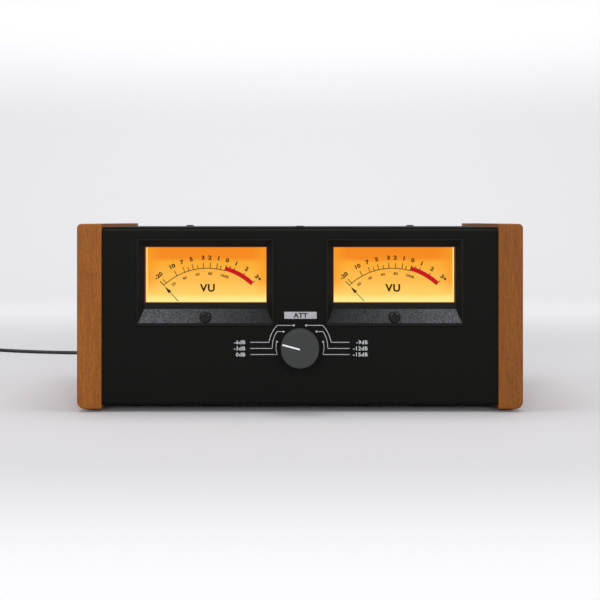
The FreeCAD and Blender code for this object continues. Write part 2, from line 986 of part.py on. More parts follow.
def turned(shape, centre, degrees):
    """The shape turned about a meter's pivot, clockwise as seen from the front."""
    return shape.rotated(vec(centre, 0, pivot_height), vec(0, 1, 0), degrees)


def moving_coil(centre):
    """A rectangular former round the core, with the two halves of its arbor."""
    outer = block(
        (centre - coil_reach, centre + coil_reach),
        (coil_front, coil_back),
        (pivot_height - coil_width / 2, pivot_height + coil_width / 2),
    )
    inner_reach = coil_reach - coil_wall
    inner = block(
        (centre - inner_reach, centre + inner_reach),
        (coil_front + coil_wall, coil_back - coil_wall),
        (pivot_height - coil_width, pivot_height + coil_width),
    )
    former = outer.cut(inner)
    front = rod(centre, pivot_height, arbor_radius, arbor_front, coil_front + coil_wall / 2)
    back = rod(centre, pivot_height, arbor_radius, coil_back - coil_wall / 2, arbor_back)
    return turned(former.fuse(front).fuse(back), centre, -rest_angle)


def needle(centre):
    """A flat pointer with an arrow head below its tip, a boss on the arbor and a tail with two balance weights."""
    half = pointer_sheet / 2
    start = pointer_boss * 0.8
    widths = [
        (start, pointer_root_width),
        (arrow_start, pointer_neck_width),
        (arrow_start, arrow_width),
        (arrow_end, pointer_tip_width),
        (pointer_length, pointer_tip_width),
    ]
    right = [vec(centre + w / 2, pointer_depth - half, pivot_height + r) for r, w in widths]
    left = [vec(centre - w / 2, pointer_depth - half, pivot_height + r) for r, w in reversed(widths)]
    blade = prism(right + left, vec(0, pointer_sheet, 0))
    boss_front = pointer_depth - pointer_boss_height / 2
    boss_back = pointer_depth + pointer_boss_height / 2
    boss = rod(centre, pivot_height, pointer_boss, boss_front, boss_back)
    tail = block(
        (centre - tail_length, centre + tail_length),
        (pointer_depth - half, pointer_depth + half),
        (pivot_height - 0.4, pivot_height + 0.4),
    )
    stem = block(
        (centre - 0.4, centre + 0.4),
        (pointer_depth - half, pointer_depth + half),
        (pivot_height - tail_length, pivot_height),
    )
    shape = blade.fuse(boss).fuse(tail).fuse(stem)
    for x, z in ((-tail_length, 0), (tail_length, 0), (0, -tail_length)):
        height = balance_height if x else 2 * balance_height
        weight = rod(
            centre + x,
            pivot_height + z,
            balance_radius,
            pointer_depth - half,
            pointer_depth - half + height,
        )
        shape = shape.fuse(weight)
    shape = shape.cut(rod(centre, pivot_height, arbor_radius + 0.02, boss_front - 1, boss_back + 1))
    return turned(shape, centre, -rest_angle)


def hairspring(centre):
    """A flat spiral strip of half circles, whose centres step from side to side."""
    step = hair_pitch / 2
    edges, ends = [], []
    for grow in (1, -1):
        middle, radius, side = 0.0, hair_inner, -1
        for half_turn in range(2 * hair_turns):
            reach = radius + grow * hair_sheet / 2
            first = vec(centre, hair_front, pivot_height + middle + side * reach)
            crest = vec(centre + side * reach, hair_front, pivot_height + middle)
            last = vec(centre, hair_front, pivot_height + middle - side * reach)
            edges.append(Part.Arc(first, crest, last).toShape())
            if half_turn == 0:
                ends.append(first)
            middle += side * step
            radius += step
            side = -side
        ends.append(last)
    edges.append(Part.LineSegment(ends[0], ends[2]).toShape())
    edges.append(Part.LineSegment(ends[1], ends[3]).toShape())
    wire = Part.Wire(Part.__sortEdges__(edges))
    return Part.Face(wire).extrude(vec(0, hair_width, 0))


def zero_lever(centre):
    """A forked lever about the front jewel screw, with a tab that holds the hairspring's outer end."""
    tab_top = pivot_height - hair_inner - hair_turns * hair_pitch - hair_sheet / 2 - hair_tab_gap
    front, back = zero_lever_front, zero_lever_front + zero_lever_sheet
    lever = rod(centre, pivot_height, zero_lever_ring, front, back)
    arm = block(
        (centre - zero_fork_width / 2, centre + zero_fork_width / 2),
        (front, back),
        (pivot_height, pivot_height + zero_fork_reach),
    )
    tail = block(
        (centre - hair_tab_width / 2, centre + hair_tab_width / 2),
        (front, back),
        (tab_top - hair_tab_width, pivot_height),
    )
    tab = block(
        (centre - hair_tab_width / 2, centre + hair_tab_width / 2),
        (front, hair_front + hair_width),
        (tab_top - hair_tab_width, tab_top),
    )
    lever = lever.fuse(arm).fuse(tail).fuse(tab)
    slot_half = zero_pin + zero_fork_gap
    pin_radius = zero_screw_height - zero_pin_offset - pivot_height
    slot = block(
        (centre - slot_half, centre + slot_half),
        (front - 1, back + 1),
        (pivot_height + pin_radius - 1.2, pivot_height + zero_fork_reach + 1),
    )
    bore = rod(centre, pivot_height, jewel_radius + zero_lever_bore_fit, front - 1, back + 1)
    return lever.cut(slot).cut(bore)


def zero_screw(centre):
    """A domed, slotted plastic screw with an eccentric pin on its inner end."""
    z = zero_screw_height
    head = rod(centre, z, zero_head_radius, zero_head_front, zero_head_back)
    head = eased(head, zero_dome, lambda edge: abs(edge.CenterOfMass.y - zero_head_front) < 1e-6)
    slot = block(
        (centre - zero_slot / 2, centre + zero_slot / 2),
        (zero_head_front - 1, zero_head_front + zero_slot_depth),
        (z - zero_head_radius - 1, z + zero_head_radius + 1),
    )
    shank = rod(centre, z, zero_shank, zero_head_back, zero_shank_back)
    pin = rod(centre, z - zero_pin_offset, zero_pin, zero_shank_back, zero_pin_back)
    return head.cut(slot).fuse(shank).fuse(pin)


def knob():
    """A turned knob with a slight taper, a recess for the nut and a line cut across its face."""
    z = knob_axis_height
    back, front = -knob_gap, knob_front
    body = cone(0, z, knob_radius - knob_draft, knob_radius, front, back)
    body = eased(body, knob_edge, lambda edge: abs(edge.CenterOfMass.y - front) < 1e-6)
    body = body.cut(rod(0, z, knob_recess, back - knob_recess_depth, back + 1))
    body = body.cut(rod(0, z, shaft_radius + shaft_fit, back - knob_bore_depth, back + 1))
    line = block(
        (0, knob_radius + 1),
        (front - 1, front + knob_line_depth),
        (z - knob_line_width / 2, z + knob_line_width / 2),
    )
    line = line.rotated(vec(0, 0, z), vec(0, 1, 0), -knob_line_angle)
    return body.cut(line)


def switch_shaft():
    """The shaft, flatted where the knob's screw bears, with the switch's rotor on its inner end."""
    z = knob_axis_height
    front = -knob_gap - knob_bore_depth + 0.2
    rotor_front = wafer_front + wafer_sheet / 2 - rotor_thickness / 2
    shaft = rod(0, z, shaft_radius, front, rotor_front + rotor_thickness)
    flat = block(
        (-shaft_radius, shaft_radius),
        (front - 1, -bush_front - 0.5),
        (z - shaft_radius, z - shaft_radius + shaft_flat),
    )
    rotor = rod(0, z, rotor_radius, rotor_front, rotor_front + rotor_thickness)
    return shaft.cut(flat).fuse(rotor)


def switch_body():
    """Bush, mounting plate, index housing and a ring wafer with lugs on two spacers."""
    z = knob_axis_height
    bush = rod(0, z, bush_radius, -bush_front, panel_sheet)
    plate = rod(0, z, switch_plate_radius, panel_sheet, panel_sheet + switch_plate_sheet)
    index = rod(0, z, index_radius, panel_sheet + switch_plate_sheet, switch_back)
    wafer = rod(0, z, wafer_radius, wafer_front, wafer_front + wafer_sheet)
    for i in range(wafer_lugs):
        angle = math.radians(360 * (i + 0.5) / wafer_lugs)
        lug = block((wafer_radius - 2, wafer_radius + 2.6), (wafer_front - 0.4, wafer_front), (z - 0.7, z + 0.7))
        wafer = wafer.fuse(lug.rotated(vec(0, 0, z), vec(0, 1, 0), math.degrees(angle)))
    wafer = wafer.cut(rod(0, z, rotor_radius + 0.3, wafer_front - 1, wafer_front + wafer_sheet + 1))
    body = bush.fuse(plate).fuse(index).fuse(wafer)
    for direction in (-1, 1):
        body = body.fuse(rod(direction * spacer_offset, z, spacer_radius, switch_back - 0.5, wafer_front + 0.5))
    return body.cut(rod(0, z, shaft_radius + shaft_fit, -bush_front - 1, switch_back + 1))


def switch_nut():
    """The bush's nut and its washer."""
    z = knob_axis_height
    fit = bush_radius + 0.02
    washer = rod(0, z, switch_washer_radius, -switch_washer_sheet, 0)
    washer = washer.cut(rod(0, z, fit, -2 * switch_washer_sheet, 1))
    start = vec(0, -switch_washer_sheet - switch_nut_height, z)
    nut = hexagon(start, switch_nut_flats, switch_nut_height, vec(0, 1, 0))
    return [washer, nut.cut(rod(0, z, fit, start.y - 1, 1))]


def board_hole_places():
    inset = board_hole_inset
    return [
        (x, y)
        for x in (-board_half_width + inset, 0, board_half_width - inset)
        for y in (board_front + inset, board_back - inset)
    ]


def main_board():
    board = block((-board_half_width, board_half_width), (board_front, board_back), (board_base, board_top))
    for x, y in board_hole_places():
        start = vec(x, y, board_base - board_sheet)
        board = board.cut(Part.makeCylinder(board_screw_shank + screw_clearance, 3 * board_sheet, start))
    return board


def board_standoffs():
    """Hexagonal posts from the tray, each with the head of its screw above the board."""
    made = []
    for x, y in board_hole_places():
        post = hexagon(vec(x, y, tray_top), standoff_flats, board_standoff, vec(0, 0, 1))
        screw = Part.makeCylinder(board_screw_shank, board_sheet, vec(x, y, board_base))
        head = Part.makeCylinder(board_screw_head, board_screw_rise, vec(x, y, board_top))
        made.append(post.fuse(screw).fuse(head))
    return made


def can(x, y, radius, height):
    """A capacitor's sleeve with its top edge broken."""
    sleeve = Part.makeCylinder(radius, height - can_edge, vec(x, y, board_top))
    edge = Part.makeCone(radius, radius - can_edge, can_edge, vec(x, y, board_top + height - can_edge))
    return sleeve.fuse(edge)


def board_capacitors():
    """Four cans for each channel, and two large ones for the supply on one side."""
    made = []
    for direction in (-1, 1):
        for step in (0, 1):
            x = direction * (capacitor_outer_x - step * capacitor_spacing)
            for row in (0, 1):
                y = board_front + capacitor_front + row * capacitor_spacing
                made.append(can(x, y, capacitor_radius, capacitor_height))
    for step in (0, 1):
        x = -large_capacitor_outer_x + step * large_capacitor_spacing
        y = board_back - large_capacitor_back
        made.append(can(x, y, large_capacitor_radius, large_capacitor_height))
    return made


def on_board(x, y, width, depth, height):
    """A block that stands on the board, with its middle at x and its front at y."""
    return block((x - width / 2, x + width / 2), (y, y + depth), (board_top, board_top + height))


def board_parts():
    """Amplifier chips, trimmers, a regulator's finned heat sink and the headers on the board."""
    made = []
    for direction in (-1, 1):
        x = direction * channel_offset
        chip_y = board_front + chip_front - chip_depth / 2
        made.append(on_board(x, chip_y, chip_width, chip_depth, chip_height))
        trimmer_y = board_front + trimmer_front
        trimmer = on_board(x, trimmer_y, trimmer_size, trimmer_depth, trimmer_size)
        screw_x = x - trimmer_size / 2 + trimmer_screw_inset
        start = vec(screw_x, trimmer_y + trimmer_depth / 2, board_top + trimmer_size)
        made.append(trimmer.fuse(Part.makeCylinder(trimmer_screw, trimmer_screw, start)))
        made.append(on_board(x, board_front + header_inset, header_width, header_depth, header_height))
    sink_y = board_back - heat_sink_back - heat_sink_depth
    sink = on_board(0, sink_y, heat_sink_width, heat_sink_plate, heat_sink_height)
    step = (heat_sink_width - heat_sink_fin) / (heat_sink_fins - 1)
    for i in range(heat_sink_fins):
        x = -heat_sink_width / 2 + heat_sink_fin / 2 + i * step
        fin_y = sink_y + heat_sink_plate
        sink = sink.fuse(on_board(x, fin_y, heat_sink_fin, heat_sink_depth - heat_sink_plate, heat_sink_height))
    made.append(sink)
    return made


def phono_sockets():
    """Single-hole phono sockets with a bore for the plug's pin."""
    made = []
    seat = rear_face + phono_flange_sheet
    for x in phono_columns:
        for z in phono_rows:
            end = rear_face + phono_length
            shell = rod(x, z, phono_radius, seat, end - phono_edge)
            shell = shell.fuse(cone(x, z, phono_radius, phono_radius - phono_edge, end - phono_edge, end))
            flange = rod(x, z, phono_flange, rear_face, seat)
            thread = rod(x, z, phono_thread, rear_inner - phono_inner_length, rear_face)
            bore = rod(x, z, phono_bore, end - phono_bore_depth, end + 1)
            made.append(shell.fuse(flange).fuse(thread).cut(bore))
    return made


def phono_nuts():
    made = []
    for x in phono_columns:
        for z in phono_rows:
            start = rear_inner - phono_nut_height
            nut = hexagon(vec(x, start, z), phono_nut_flats, phono_nut_height, vec(0, 1, 0))
            made.append(nut.cut(rod(x, z, phono_thread + 0.02, start - 1, rear_inner + 1)))
    return made


def power_jack():
    seat = rear_face + jack_flange_sheet
    flange = rod(jack_x, jack_z, jack_flange, rear_face, seat - jack_edge)
    flange = flange.fuse(cone(jack_x, jack_z, jack_flange, jack_flange - jack_edge, seat - jack_edge, seat))
    barrel = rod(jack_x, jack_z, jack_barrel, rear_face - jack_length, rear_face)
    nut = hexagon(vec(jack_x, rear_inner - jack_nut_height, jack_z), jack_nut_flats, jack_nut_height, vec(0, 1, 0))
    bore = rod(jack_x, jack_z, jack_bore, seat - jack_bore_depth, seat + 1)
    pin = rod(jack_x, jack_z, jack_pin, seat - jack_bore_depth - 0.5, seat - jack_pin_inset)
    return flange.fuse(barrel).fuse(nut).cut(bore).fuse(pin)


def rocker_axis_y():
    return rear_face + rocker_frame_sheet - rocker_axis_inset - rocker_rise + rocker_dip


def rocker_frame():
    x, z = rocker_x, rocker_z
    outer = block(
        (x - rocker_frame_width / 2, x + rocker_frame_width / 2),
        (rear_face, rear_face + rocker_frame_sheet),
        (z - rocker_frame_height / 2, z + rocker_frame_height / 2),
    )
    outer = eased(
        outer,
        0.8,
        lambda edge: abs(edge.CenterOfMass.y - rear_face - rocker_frame_sheet) < 1e-6,
    )
    body = block(
        (x - rocker_body_width / 2, x + rocker_body_width / 2),
        (rear_face - rocker_body_length, rear_face),
        (z - rocker_body_height / 2, z + rocker_body_height / 2),
    )
    well_reach = math.hypot(rocker_half_length, rocker_rise) + rocker_gap
    well = block(
        (x - min(well_reach, rocker_body_width / 2 - 0.4), x + min(well_reach, rocker_body_width / 2 - 0.4)),
        (rear_face - rocker_body_length + 2, rear_face + rocker_frame_sheet + 1),
        (z - rocker_half_height - rocker_gap, z + rocker_half_height + rocker_gap),
    )
    frame = outer.fuse(body).cut(well)
    hole = Part.makeCylinder(
        rocker_pin + rocker_pin_fit,
        2 * (rocker_half_height + rocker_gap + 0.9),
        vec(x, rocker_axis_y(), z - rocker_half_height - rocker_gap - 0.9),
    )
    return frame.cut(hole)


def rocker():
    """The paddle, pressed down at the viewer's left as seen from behind, with a trunnion at each side."""
    x, y, z = rocker_x, rocker_axis_y(), rocker_z
    outline = [
        (-rocker_half_length, rocker_rise),
        (0, rocker_rise - rocker_dip),
        (rocker_half_length, rocker_rise),
        (rocker_half_length - 0.8, 0),
        (3.0, -3.0),
        (-3.0, -3.0),
        (-rocker_half_length + 0.8, 0),
    ]
    points = [vec(x + a, y + b, z - rocker_half_height) for a, b in outline]
    paddle = prism(points, vec(0, 0, 2 * rocker_half_height))
    trunnion = Part.makeCylinder(
        rocker_pin,
        2 * (rocker_half_height + rocker_gap + 0.6),
        vec(x, y, z - rocker_half_height - rocker_gap - 0.6),
    )
    return paddle.fuse(trunnion).rotated(vec(x, y, z), vec(0, 0, 1), -rocker_throw)


def power_plug():
    """The lead's plug: a barrel in the socket, a moulded grip and a tapered relief."""
    grip_end = plug_start + plug_body_length
    barrel_start = plug_start - plug_gap - plug_barrel_length
    barrel = rod(jack_x, jack_z, plug_barrel, barrel_start, plug_start)
    barrel = barrel.cut(rod(jack_x, jack_z, plug_barrel_bore, barrel_start - 1, plug_start - 0.5))
    grip = rod(jack_x, jack_z, plug_body, plug_start, grip_end)
    grip = eased(grip, 0.8, lambda edge: edge.CenterOfMass.y < grip_end and runs_round(edge))
    relief = cone(jack_x, jack_z, plug_body - 1.4, relief_tip, grip_end, plug_end)
    return barrel.fuse(grip).fuse(relief)


def runs_round(edge):
    return edge.Curve.TypeId == "Part::GeomCircle"


def rounded_path(points):
    """Straight runs joined by tangent arcs. Prints the arcs' radii."""
    edges, radii = [], []
    here = points[0]
    for before, corner, after in zip(points, points[1:], points[2:]):
        back, ahead = before - corner, after - corner
        shorter = min(back.Length, ahead.Length)
        half_turn = (math.pi - back.getAngle(ahead)) / 2
        reach = 0.45 * shorter
        radius = reach / math.tan(half_turn)
        radii.append(radius)
        back.normalize()
        ahead.normalize()
        first, last = corner + back * reach, corner + ahead * reach
        inward = back + ahead
        inward.normalize()
        middle = corner + inward * (radius / math.cos(half_turn) - radius)
        edges.append(Part.LineSegment(here, first).toShape())
        edges.append(Part.Arc(first, middle, last).toShape())
        here = last
    edges.append(Part.LineSegment(here, points[-1]).toShape())
    print("lead radii", [round(radius) for radius in radii])
    return Part.Wire(edges)


def tube(path, start, heading):
    """The lead's round section, drawn with a few sides of the same area, along a path."""
    section = math.pi * lead_diameter**2 / 4
    corner = math.sqrt(2 * section / lead_sides / math.sin(2 * math.pi / lead_sides))
    across = heading.cross(vec(0, 0, 1))
    across.normalize()
    up = across.cross(heading)
    up.normalize()
    turns = [2 * math.pi * (i + 0.5) / lead_sides for i in range(lead_sides)]
    corners = [start + across * corner * math.cos(turn) + up * corner * math.sin(turn) for turn in turns]
    ring = Part.makePolygon([*corners, corners[0]])
    return path.makePipeShell([ring], True, False)


def power_cord():
    """The lead from its plug down to the table and along it to the coil."""
    start = vec(jack_x, plug_end, jack_z)
    end = vec(coil_x, coil_entry_y, lead_diameter / 2)
    points = [start, *[vec(*point) for point in lead_points], end]
    path = rounded_path(points)
    lead = tube(path, start, points[1] - start)
    section = math.pi * lead_diameter**2 / 4
    print("lead length", round(path.Length, 1), "volume ratio", round(lead.Volume / section / path.Length, 4))
    return lead


def biarc(start, heading, end, last_heading):
    """Two tangent arcs from start to end that keep the given headings, for a half turn or a quarter turn."""
    span = end - start
    both = heading + last_heading
    a = both.dot(both) - 4
    b = -2 * span.dot(both)
    c = span.dot(span)
    root = math.sqrt(b * b - 4 * a * c)
    reach = max((-b + root) / (2 * a), (-b - root) / (2 * a))
    joint = (start + heading * reach + end - last_heading * reach) * 0.5
    return [tangent_arc(start, heading, joint), tangent_arc(end, last_heading * -1, joint, backwards=True)]


def tangent_arc(start, heading, end, backwards=False):
    """The arc that leaves start along heading and reaches end."""
    chord = end - start
    across = chord - heading * chord.dot(heading)
    across.normalize()
    radius = chord.dot(chord) / (2 * chord.dot(across))
    centre = start + across * radius
    outward = (start + end) * 0.5 - centre
    outward.normalize()
    middle = centre + outward * radius
    if backwards:
        return Part.Arc(end, middle, start)
    return Part.Arc(start, middle, end)


def coil_path():
    """Half turns that spiral in and out between the coil's outer and inner radius, a layer at a time."""
    radius, height = coil_outer, lead_diameter / 2
    centre_y = coil_entry_y - coil_outer
    side, heading = 1, vec(-1, 0, 0)
    here = vec(coil_x, centre_y + radius, height)
    straight = here + heading * lead_diameter
    edges = [Part.LineSegment(here, straight).toShape()]
    shift = vec(-lead_diameter, 0, 0)
    here = straight
    growth = -coil_pitch / 2
    for layer in range(coil_layers):
        climbs = layer < coil_layers - 1
        for step in range(coil_half_turns + (1 if climbs else -1)):
            if step < coil_half_turns:
                radius += growth
            else:
                height += coil_layer_pitch
            side = -side
            there = vec(coil_x, centre_y + side * radius, height) + shift
            arcs = biarc(here, heading, there, heading * -1)
            edges += [arc.toShape() for arc in arcs]
            here, heading = there, heading * -1
        growth = -growth
    turned_heading = vec(0, -side, 0)
    quarter = here + (heading + turned_heading) * (radius + coil_pitch / 4)
    edges.append(tangent_arc(here, heading, quarter).toShape())
    last = quarter + turned_heading * lead_diameter
    edges.append(Part.LineSegment(quarter, last).toShape())
    return Part.Wire(edges), last, turned_heading


def cord_coil():
    path, last, heading = coil_path()
    start = path.Vertexes[0].Point
    coil = tube(path, start, vec(-1, 0, 0))
    section = math.pi * lead_diameter**2 / 4
    print("coil length", round(path.Length, 1), "volume ratio", round(coil.Volume / section / path.Length, 4))
    print("coil gap to itself", round(least_gap(path), 2))
    return coil


def least_gap(path):
    """The least distance between two stretches of the coil that are over three diameters apart along it."""
    points = path.discretize(Distance=1.0)
    apart = int(3 * lead_diameter)
    least = 1000.0
    for i, point in enumerate(points):
        for other in points[i + apart :]:
            least = min(least, point.distanceToPoint(other))
    return least - lead_diameter


def power_adapter():
    """A plug-in adapter lying on its back, with its lead's relief and two flat blades."""
    last, heading = coil_path()[1:]
    body_start = last.y + heading.y * adapter_relief_length
    body_end = body_start + heading.y * adapter_length
    body = block(
        (last.x - adapter_width / 2, last.x + adapter_width / 2),
        (min(body_start, body_end), max(body_start, body_end)),
        (0, adapter_height),
    )
    body = eased(body, adapter_edge, lambda edge: runs_along(edge, vec(0, 1, 0)))
    relief = Part.makeCone(relief_tip, adapter_relief_root, adapter_relief_length + 0.5, last, heading)
    body = body.fuse(relief)
    for direction in (-1, 1):
        x = last.x + direction * blade_spacing / 2
        blade = block(
            (x - blade_sheet / 2, x + blade_sheet / 2),
            (min(body_end, body_end + heading.y * blade_length), max(body_end, body_end + heading.y * blade_length)),
            ((adapter_height - blade_width) / 2, (adapter_height + blade_width) / 2),
        )
        body = body.fuse(blade)
    return body


os.makedirs("parts", exist_ok=True)

for side, direction in both_sides():
    centre = direction * meter_offset
    write("wood_side_" + side, wood_side(direction))
    write("front_frame_" + side, front_frame(centre))
    write("window_" + side, window_pane(centre))
    write("meter_case_" + side, meter_case(centre))
    write("light_box_" + side, light_box(centre))
    write("lamp_board_" + side, lamp_board(centre))
    write("dial_" + side, dial(centre))
    write("yoke_ring_" + side, yoke_ring(centre))
    write("magnet_core_" + side, magnet_core(centre))
    write("bridges_" + side, *bridges(centre))
    write("moving_coil_" + side, moving_coil(centre))
    write("needle_" + side, needle(centre))
    write("hairspring_" + side, hairspring(centre))
    write("zero_lever_" + side, zero_lever(centre))
    write("zero_screw_" + side, zero_screw(centre))

write("foot_pads", *foot_pads())
write("front_panel", front_panel())
write("bottom_tray", bottom_tray())
write("rear_panel", rear_panel())
write("top_cover", top_cover())
write("cover_screws", *cover_screws())
write("side_screws", *side_screws())
write("meter_nuts", *meter_nuts())
write("meter_terminals", *meter_terminals())
write("lamps", *lamps())
write("dial_screws", *dial_screws())
write("jewel_screws", *jewel_screws())
write("knob", knob())
write("switch_shaft", switch_shaft())
write("switch_body", switch_body())
write("switch_nut", *switch_nut())
write("main_board", main_board())
write("board_standoffs", *board_standoffs())
write("board_capacitors", *board_capacitors())
write("board_parts", *board_parts())
write("phono_sockets", *phono_sockets())
write("phono_nuts", *phono_nuts())
write("power_jack", power_jack())
write("rocker_frame", rocker_frame())
write("rocker", rocker())
write("power_plug", power_plug())
write("power_cord", power_cord())
write("cord_coil", cord_coil())
write("power_adapter", power_adapter())
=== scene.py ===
import json
import math

import bpy
import numpy as np
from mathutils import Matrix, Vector


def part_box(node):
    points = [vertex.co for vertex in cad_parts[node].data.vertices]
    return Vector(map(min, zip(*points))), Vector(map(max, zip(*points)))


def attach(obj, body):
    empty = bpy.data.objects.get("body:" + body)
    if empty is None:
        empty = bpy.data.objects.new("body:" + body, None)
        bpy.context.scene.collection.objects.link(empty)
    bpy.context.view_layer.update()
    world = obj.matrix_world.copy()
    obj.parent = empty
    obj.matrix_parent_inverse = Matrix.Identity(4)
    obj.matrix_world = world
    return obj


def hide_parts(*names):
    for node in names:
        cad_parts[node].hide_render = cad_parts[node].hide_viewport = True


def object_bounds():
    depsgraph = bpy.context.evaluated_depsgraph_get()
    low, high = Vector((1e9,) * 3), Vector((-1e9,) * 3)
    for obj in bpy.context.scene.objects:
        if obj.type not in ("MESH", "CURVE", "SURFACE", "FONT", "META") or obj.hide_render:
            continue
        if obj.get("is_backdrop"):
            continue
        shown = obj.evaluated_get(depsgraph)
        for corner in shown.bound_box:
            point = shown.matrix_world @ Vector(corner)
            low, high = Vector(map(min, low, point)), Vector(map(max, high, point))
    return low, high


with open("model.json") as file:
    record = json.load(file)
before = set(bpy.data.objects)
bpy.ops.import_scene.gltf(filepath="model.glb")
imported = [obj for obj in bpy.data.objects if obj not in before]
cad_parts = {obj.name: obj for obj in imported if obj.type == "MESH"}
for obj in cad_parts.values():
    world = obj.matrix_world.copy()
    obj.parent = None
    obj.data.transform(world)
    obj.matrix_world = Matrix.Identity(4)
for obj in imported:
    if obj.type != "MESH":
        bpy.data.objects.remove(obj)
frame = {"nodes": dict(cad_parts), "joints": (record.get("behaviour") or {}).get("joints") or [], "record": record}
cad_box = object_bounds()
mm = 0.001

# Camera. It stands 0.7 m in front of the front panel, just above the top edges of the wooden sides, and
# looks straight back. The lens is shifted down, so that the upright edges stay parallel as they are in the
# photograph.
camera_distance = 700 * mm
camera_height = 124.2 * mm
lens_mm = 64.6
sensor_mm = 36.0
downward_shift = -79 / 600
face_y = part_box("front_panel")[0].y

camera = bpy.data.objects.new("camera", bpy.data.cameras.new("camera"))
bpy.context.scene.collection.objects.link(camera)
camera.location = (0, face_y - camera_distance, camera_height)
camera.rotation_euler = (math.radians(90), 0, 0)
camera.data.lens = lens_mm
camera.data.sensor_width = sensor_mm
camera.data.shift_y = downward_shift
camera.data.clip_start = 0.01
bpy.context.scene.camera = camera
bpy.context.scene.view_settings.view_transform = "Standard"


# Table and backdrop. One sheet of matt white paper lies under the console and rises behind it in a wide
# curve. It isn't part of the console. Each part of its glow is given as where it starts, where it is full,
# and how strong.
paper_half_width = 2.6
paper_front = -1.6
paper_bend_start = 1.0
paper_bend_radius = 0.7
paper_top = 2.4
paper_white = (203, 202, 204)
backdrop_white = (240, 240, 244)
paper_glow = {"Y": ((0.25, 0.8, 0.27), (-0.2, -0.42, 0.24)), "Z": ((0.32, 0.6, 0.22),)}


def srgb(red, green, blue):
    """Linear light of a screen colour: each channel's share of 255, with its curve undone."""
    share = np.array([red, green, blue]) / 255
    return tuple(np.where(share < 0.04045, share / 12.92, ((share + 0.055) / 1.055) ** 2.4))


def add(tree, kind, inputs=None, **settings):
    """Adds a shader node. Each input is a value, or another node's output that is linked to it."""
    node = tree.nodes.new(kind if kind == "ShaderNodeGroup" else "ShaderNode" + kind)
    for key, value in settings.items():
        setattr(node, key, value)
    for key, value in (inputs or {}).items():
        if isinstance(value, bpy.types.NodeSocket):
            tree.links.new(value, node.inputs[key])
        else:
            node.inputs[key].default_value = value
    return node


def ranged(tree, value, start, end, low=0.0, high=1.0, **settings):
    """A value's share of the way from start to end, given as a number from low to high."""
    limits = {"Value": value, "From Min": start, "From Max": end, "To Min": low, "To Max": high}
    return add(tree, "MapRange", limits, **settings).outputs["Result"]


def worked(tree, operation, first, second=0.0):
    """The outcome of one step of arithmetic on two values."""
    return add(tree, "Math", {0: first, 1: second}, operation=operation).outputs[0]


def mixed(tree, share, first, second, **settings):
    """A colour between two others. A constant colour is given by three numbers."""
    first, second = ((*c, 1) if isinstance(c, tuple) else c for c in (first, second))
    ends = {"Factor": share, "A": first, "B": second}
    return add(tree, "Mix", ends, data_type="RGBA", **settings).outputs["Result"]


def finish(name, colour, roughness, **values):
    """A material, its tree and its Principled shader, with fixed values on the shader's own sockets."""
    material = bpy.data.materials.new(name)
    material.use_nodes = True
    shader = material.node_tree.nodes["Principled BSDF"]
    shader.inputs["Base Color"].default_value = (*colour, 1)
    shader.inputs["Roughness"].default_value = roughness
    for key, value in values.items():
        shader.inputs[key.replace("_", " ")].default_value = value
    return material, material.node_tree, shader


def grid_faces(rows, columns, round_rows=False, round_columns=False):
    """Quads of a grid numbered row by row. A round direction joins its last line to its first."""
    row = np.arange(rows if round_rows else rows - 1)
    column = np.arange(columns if round_columns else columns - 1)
    row, column = np.meshgrid(row, column, indexing="ij")
    next_row, next_column = (row + 1) % rows, (column + 1) % columns
    corners = [row * columns + column, row * columns + next_column]
    corners += [next_row * columns + next_column, next_row * columns + column]
    return np.stack(corners, axis=-1).reshape(-1, 4).tolist()


def piece(name, points, faces, material, smooth=True):
    """A mesh object at the origin from its points and faces."""
    mesh = bpy.data.meshes.new(name)
    mesh.from_pydata(np.asarray(points).reshape(-1, 3).tolist(), [], faces)
    mesh.polygons.foreach_set("use_smooth", [smooth] * len(mesh.polygons))
    mesh.materials.append(material)
    mesh.update()
    made = bpy.data.objects.new(name, mesh)
    bpy.context.scene.collection.objects.link(made)
    return made


def paper_sheet():
    """A profile of flat run, quarter circle and upright run, carried straight across the room."""
    bend = np.radians(np.linspace(-90, 0, 24))
    y = paper_bend_start + paper_bend_radius * np.cos(bend)
    z = paper_bend_radius * (1 + np.sin(bend))
    profile = np.column_stack([np.r_[paper_front, y, y[-1]], np.r_[0, z, paper_top]])
    across = np.array([-paper_half_width, paper_half_width])
    points = np.empty((len(profile), 2, 3))
    points[:, :, 0] = across
    points[:, :, 1:] = profile[:, None, :]
    return points, [face[::-1] for face in grid_faces(len(profile), 2)]


def paper_finish():
    """Matt paper. To the camera alone it glows a little behind, high up and far in front of the console."""
    material, tree, shader = finish("white_paper", srgb(*paper_white), 0.9, Specular_IOR_Level=0.1)
    place = add(tree, "SeparateXYZ", {"Vector": add(tree, "TexCoord").outputs["Object"]})
    camera_ray = add(tree, "LightPath").outputs["Is Camera Ray"]
    total = 0.0
    for axis, ranges in paper_glow.items():
        for start, end, most in ranges:
            part = ranged(tree, place.outputs[axis], start, end, high=most, interpolation_type="SMOOTHSTEP")
            total = worked(tree, "ADD", total, part)
    shader.inputs["Emission Color"].default_value = (1, 1, 1, 1)
    tree.links.new(worked(tree, "MULTIPLY", total, camera_ray), shader.inputs["Emission Strength"])
    return material


